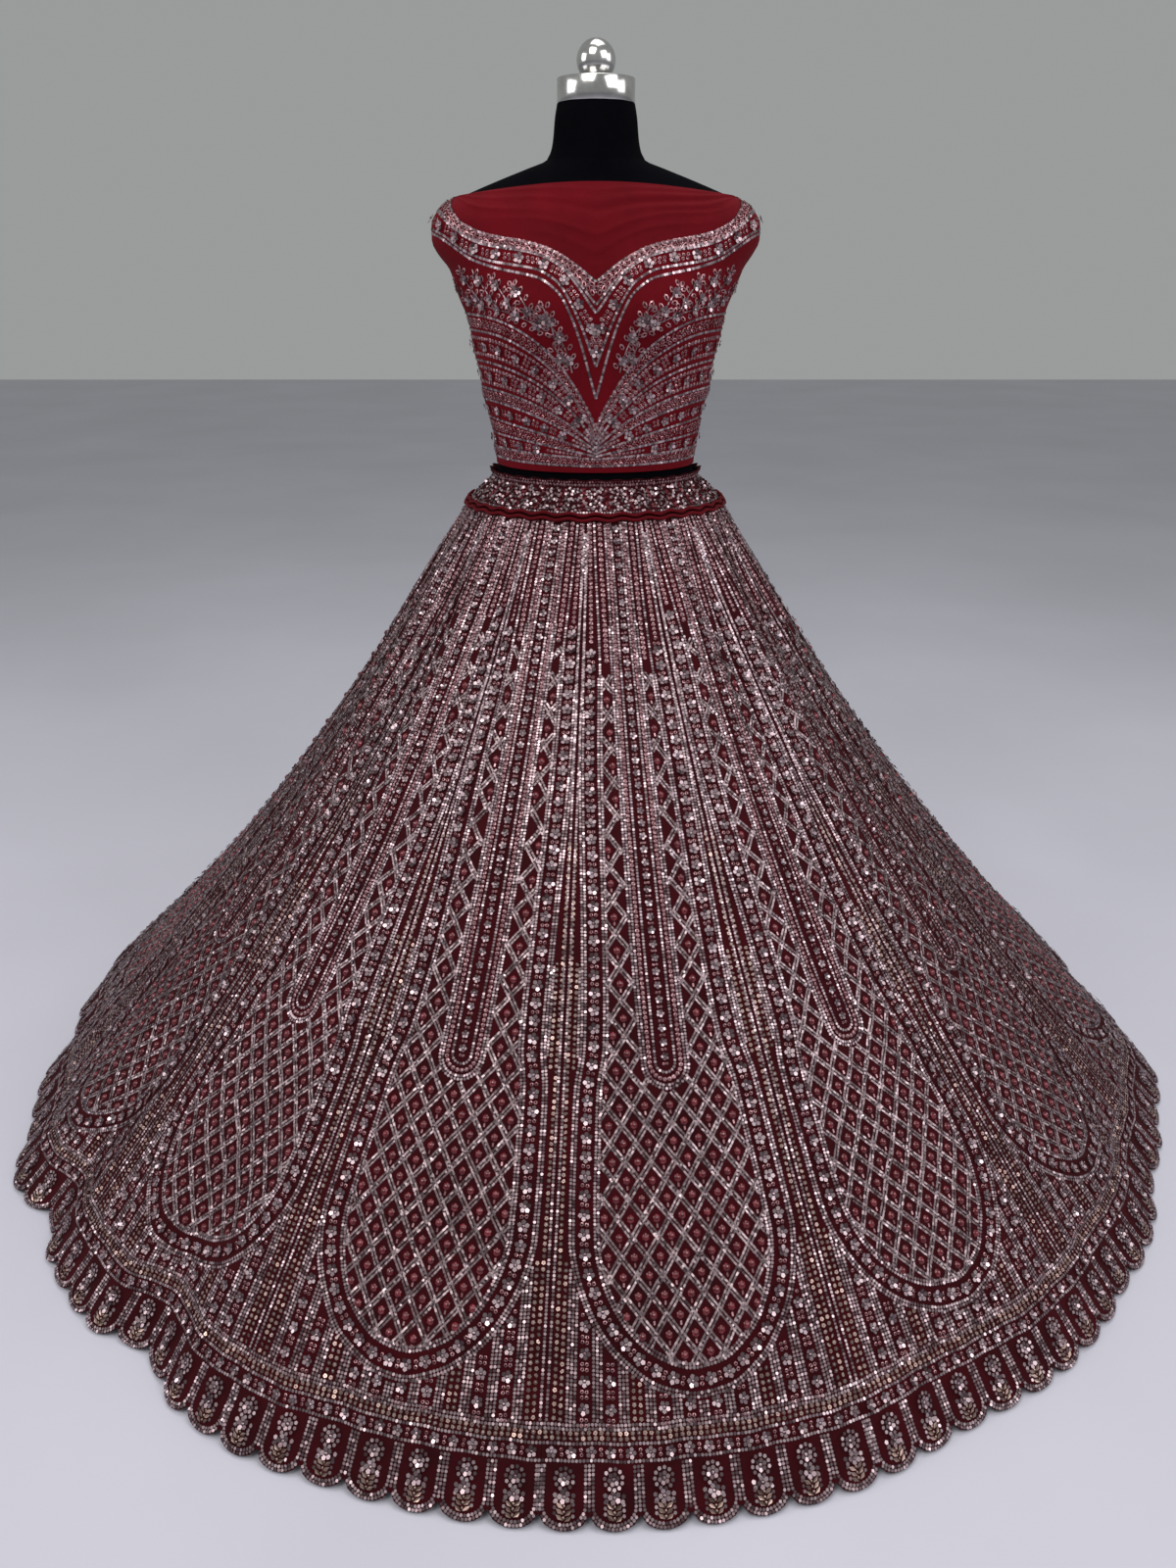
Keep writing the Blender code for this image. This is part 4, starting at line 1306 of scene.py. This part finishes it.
def gap_start(row, below, needed):
    """Azimuth from which two arcs are far enough apart for a chain between them."""
    upper, lower = arc_path(row), arc_path(below)
    wide = np.flatnonzero(upper[:, 1] - lower[:, 1] > needed)
    return float(upper[wide[0], 0]) if len(wide) else SIDE_AZIMUTH


def on_front(places):
    return np.abs(places[:, 0]) < SIDE_AZIMUTH - 0.5


def sew_spray(patch, row, side):
    """A curved stem with flowers along it and pairs of small leaves."""
    spray = dict(zip(SPRAY_COLUMNS, row))
    t = np.linspace(0.0, 1.0, 40)
    weights = ((1.0 - t) ** 2, 2.0 * t * (1.0 - t), t * t)
    names = ("start", "bend", "end")
    x = sum(weight * spray[f"{name}_x"] for weight, name in zip(weights, names))
    z = sum(weight * spray[f"{name}_z"] for weight, name in zip(weights, names))
    path = np.stack([side * azimuth_at(x, z), z], axis=1)
    places, heading = patch.resample(path, 0.0032)
    patch.put("bar", places, heading, 0.0015, ZARI_SLOT, 0.0004, 0.1)
    places, heading = patch.resample(path, 0.0330)
    patch.put("flower", places, heading, 0.0066, SILVER_SLOT, 0.0009)
    places, heading = patch.resample(path, 0.0118)
    for turn in (-1.0, 1.0):
        leaves = patch.moved(places, heading, 0.0015, turn * 0.0068)
        patch.put("oval", leaves, heading + turn * 0.9, 0.0029, ROSE_SLOT, 0.0006)
    patch.put("oval", path[-1:], heading[-1:], 0.0032, ROSE_SLOT, 0.0006)


def make_choli():
    front = choli_grid(
        -SIDE_AZIMUTH + SEAM_TURN,
        SIDE_AZIMUTH - SEAM_TURN,
        96,
        54,
        lambda azimuths: NECK_Z(np.abs(azimuths)) - NECK_SEAM,
    )
    patch = Patch(choli_point, (0.2, 0.0008), 1.0, on_front)
    cord = {"pitch": 0.0029, "size": 0.0019}
    both_sides(patch.line, between_paths(0.05, 0.015), **cord)
    both_sides(patch.ladder, between_paths(0.20, 0.10))
    both_sides(patch.line, between_paths(0.35, 0.20), **cord)
    both_sides(patch.line, between_paths(0.40, 0.27), **cord)
    both_sides(patch.flower_chain, between_paths(0.64, 0.50), pitch=0.0330, size=0.0066, pairs=3)
    both_sides(patch.line, between_paths(0.89, 0.72), **cord)
    both_sides(patch.line, between_paths(1.00, 1.00), **cord)
    on_middle = np.array([[0.0, z] for z in V_FLOWERS])
    patch.put("flower", on_middle, 0.3, 0.0070, SILVER_SLOT, 0.0009)
    for side in (-1.0, 1.0):
        patch.put("hoop", on_middle + np.array([side * 1.6, 0.0125]), 0.0, 0.0027, ROSE_SLOT, 0.0007)
    for number, row in enumerate(ARCS):
        both_sides(patch.line, arc_path(row), **cord)
        if number + 1 == len(ARCS):
            break
        below = ARCS[number + 1]
        middle = [0.5 * (a + b) for a, b in zip(row, below)]
        if number in (0, 3, 5, 7):
            path = arc_path(middle, gap_start(row, below, 0.0082))
            both_sides(patch.ladder, path, gap=0.0031, size=0.0024, pitch=0.0076)
        else:
            start = gap_start(row, below, 0.0125)
            both_sides(patch.flower_chain, arc_path(middle, start), pitch=0.0270, size=0.0062, pairs=2)
            narrow = gap_start(row, below, 0.0062)
            both_sides(patch.hoop_chain, arc_path(middle, narrow, start), size=0.0024)
            wide = gap_start(row, below, 0.024)
            if wide < 70.0:
                for mix in (0.24, 0.76):
                    edge = [a + (b - a) * mix for a, b in zip(row, below)]
                    both_sides(patch.hoop_chain, arc_path(edge, wide), size=0.0028)
    for row in SPRAYS:
        for side in (-1.0, 1.0):
            sew_spray(patch, row, side)
    trims = patch.pile.finish("choli_front_sequins")
    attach(trims, "root")
    make_panel(
        "choli_front",
        choli_point,
        front,
        PLAIN,
    )

    azimuths = np.linspace(-YOKE_REACH, YOKE_REACH, 97)
    low = NECK_Z(np.abs(azimuths)) + NECK_SEAM
    shares = np.linspace(1.0, 0.0, 43)
    places = low[None] + (yoke_top(azimuths) - low)[None] * shares[:, None]
    yoke = (np.repeat(azimuths[None], len(shares), axis=0), places)
    make_panel("choli_yoke", yoke_point, yoke, PLAIN)

    backs = (
        ("choli_back_right", SIDE_AZIMUTH, PLACKET_AZIMUTH, 40, BACK_CUT),
        ("choli_back_left", -PLACKET_AZIMUTH, -SIDE_AZIMUTH, 40, BACK_CUT),
        ("choli_back_placket", PLACKET_AZIMUTH, 360.0 - PLACKET_AZIMUTH, 6, PLACKET_CUT),
    )
    for name, start, end, columns, cut in backs:
        grid = choli_grid(start + SEAM_TURN, end - SEAM_TURN, columns, 44, back_top)
        make_panel(name, choli_point, grid, PLAIN)


make_choli()


# Dress form, collar, finial and stand


def turned(name, profile, material, node_name, slot, sides=72):
    """A round piece from a profile of (radius, height) that runs down its outer side."""
    points = [(0.0, 0.0, profile[0][1])]
    for radius, z in profile[1:-1]:
        points.extend((x, y, z) for x, y, _ in ring_of(sides, radius))
    points.append((0.0, 0.0, profile[-1][1]))
    faces = [(0, 1 + side, 1 + (side + 1) % sides) for side in range(sides)]
    faces.extend(tube_faces(len(profile) - 2, sides, first=1))
    last = len(points) - 1
    first = 1 + (len(profile) - 3) * sides
    faces.extend((last, first + (side + 1) % sides, first + side) for side in range(sides))
    piece = link(name, smooth_mesh(name, points, faces, 50.0), [material])
    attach(piece, "root")
    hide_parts(node_name)


def make_form():
    azimuths = np.arange(96) * 3.75
    heights = np.concatenate([np.linspace(0.660, 1.24, 50), np.linspace(1.248, 1.369, 40)])
    grid = form_point(azimuths[None], heights[:, None])
    neck_seam = 0.0009 * np.exp(-(((heights - 1.3065) / 0.0016) ** 2))
    centre = grid.mean(axis=1, keepdims=True)
    grid = grid - unit(grid - centre) * neck_seam[:, None, None]
    rows, columns = grid.shape[:2]
    faces = []
    for row in range(rows - 1):
        for column in range(columns):
            after = (column + 1) % columns
            low, high = row * columns, (row + 1) * columns
            faces.append((low + column, low + after, high + after, high + column))
    faces.append(tuple(range(columns - 1, -1, -1)))
    faces.append(tuple(range((rows - 1) * columns, rows * columns)))
    points = grid.reshape(-1, 3).tolist()
    cover = link("form_cover", smooth_mesh("form_cover", points, faces, 50.0), [COVER])
    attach(cover, "root")
    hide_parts("form_torso")


make_form()

turned(
    "collar",
    [
        (0.0, COLLAR_TOP_Z),
        (COLLAR_RADIUS - 2.0 * COLLAR_EDGE, COLLAR_TOP_Z),
        (COLLAR_RADIUS - 0.6 * COLLAR_EDGE, COLLAR_TOP_Z - 0.3 * COLLAR_EDGE),
        (COLLAR_RADIUS, COLLAR_TOP_Z - COLLAR_EDGE),
        (COLLAR_RADIUS, COLLAR_BOTTOM_Z + COLLAR_EDGE),
        (COLLAR_RADIUS - 0.4 * COLLAR_EDGE, COLLAR_BOTTOM_Z + 0.3 * COLLAR_EDGE),
        (COLLAR_RADIUS - COLLAR_EDGE, COLLAR_BOTTOM_Z),
        (0.0, COLLAR_BOTTOM_Z),
    ],
    CHROME,
    "neck_collar",
    "chrome",
)
ball_centre = FINIAL_TOP_Z - FINIAL_RADIUS
foot_angle = math.acos((COLLAR_TOP_Z + FINIAL_GAP - ball_centre) / FINIAL_RADIUS)
ball = []
for share in np.linspace(0.0, 1.0, 26):
    angle = share * foot_angle
    ball.append((FINIAL_RADIUS * math.sin(angle), ball_centre + FINIAL_RADIUS * math.cos(angle)))
turned("finial", ball + [(0.0, COLLAR_TOP_Z + FINIAL_GAP)], CHROME, "neck_finial", "chrome")

for name in ("stand_pole", "stand_base"):
    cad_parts[name].data.materials.clear()
    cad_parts[name].data.materials.append(PAINTED)


# Floor, light and camera


def make_floor():
    material, tree, shader = new_material("pale_floor")
    place = node(tree, "ShaderNodeTexCoord").outputs["Object"]
    cloud = node(tree, "ShaderNodeTexNoise", in_Scale=1.2, in_Detail=4.0)
    tree.links.new(place, cloud.inputs["Vector"])
    color = ramp(tree, cloud.outputs["Fac"], ((0.3, (0.53, 0.52, 0.59)), (0.75, (0.59, 0.58, 0.66))))
    tree.links.new(color, shader.inputs["Base Color"])
    shader.inputs["Roughness"].default_value = 0.5
    bpy.ops.mesh.primitive_plane_add(size=24.0, location=(0.0, 0.0, 0.0))
    floor = bpy.context.object
    floor.name = "floor"
    floor.data.materials.append(material)


def area_light(name, location, target, size, power, color=(1.0, 1.0, 1.0)):
    light = bpy.data.lights.new(name, "AREA")
    light.shape = "SQUARE"
    light.size = size
    light.energy = power
    light.color = color
    lamp = bpy.data.objects.new(name, light)
    lamp.location = location
    lamp.rotation_euler = (Vector(target) - Vector(location)).to_track_quat("-Z", "Y").to_euler()
    bpy.context.scene.collection.objects.link(lamp)


def make_world():
    world = bpy.data.worlds.new("studio")
    world.use_nodes = True
    background = world.node_tree.nodes["Background"]
    background.inputs["Color"].default_value = (0.52, 0.54, 0.53, 1.0)
    background.inputs["Strength"].default_value = 0.62
    bpy.context.scene.world = world
    bpy.context.scene.view_settings.view_transform = "Standard"


def make_camera():
    camera = bpy.data.cameras.new("camera")
    camera.sensor_fit = "VERTICAL"
    camera.sensor_height = 36.0
    camera.lens = 27.0
    holder = bpy.data.objects.new("camera", camera)
    holder.location = (-0.010, -1.680, 1.190)
    holder.rotation_euler = (0.5 * math.pi - 0.418, 0.0, 0.0)
    bpy.context.scene.collection.objects.link(holder)
    bpy.context.scene.camera = holder


make_floor()
make_world()
area_light("key", (-1.0, -2.1, 3.6), (0.0, 0.0, 0.6), 1.8, 56.0, (1.0, 0.98, 0.96))
area_light("fill", (2.1, -1.8, 2.6), (0.0, 0.0, 0.5), 1.8, 34.0, (0.97, 0.98, 1.0))
area_light("left", (-3.0, -0.6, 2.0), (-0.3, 0.0, 0.4), 1.6, 26.0, (0.98, 0.98, 1.0))
area_light("right", (3.0, -0.6, 2.0), (0.3, 0.0, 0.4), 1.6, 16.0, (0.98, 0.98, 1.0))
area_light("top", (0.2, 0.3, 3.9), (0.0, 0.0, 0.4), 1.8, 30.0)
make_camera()
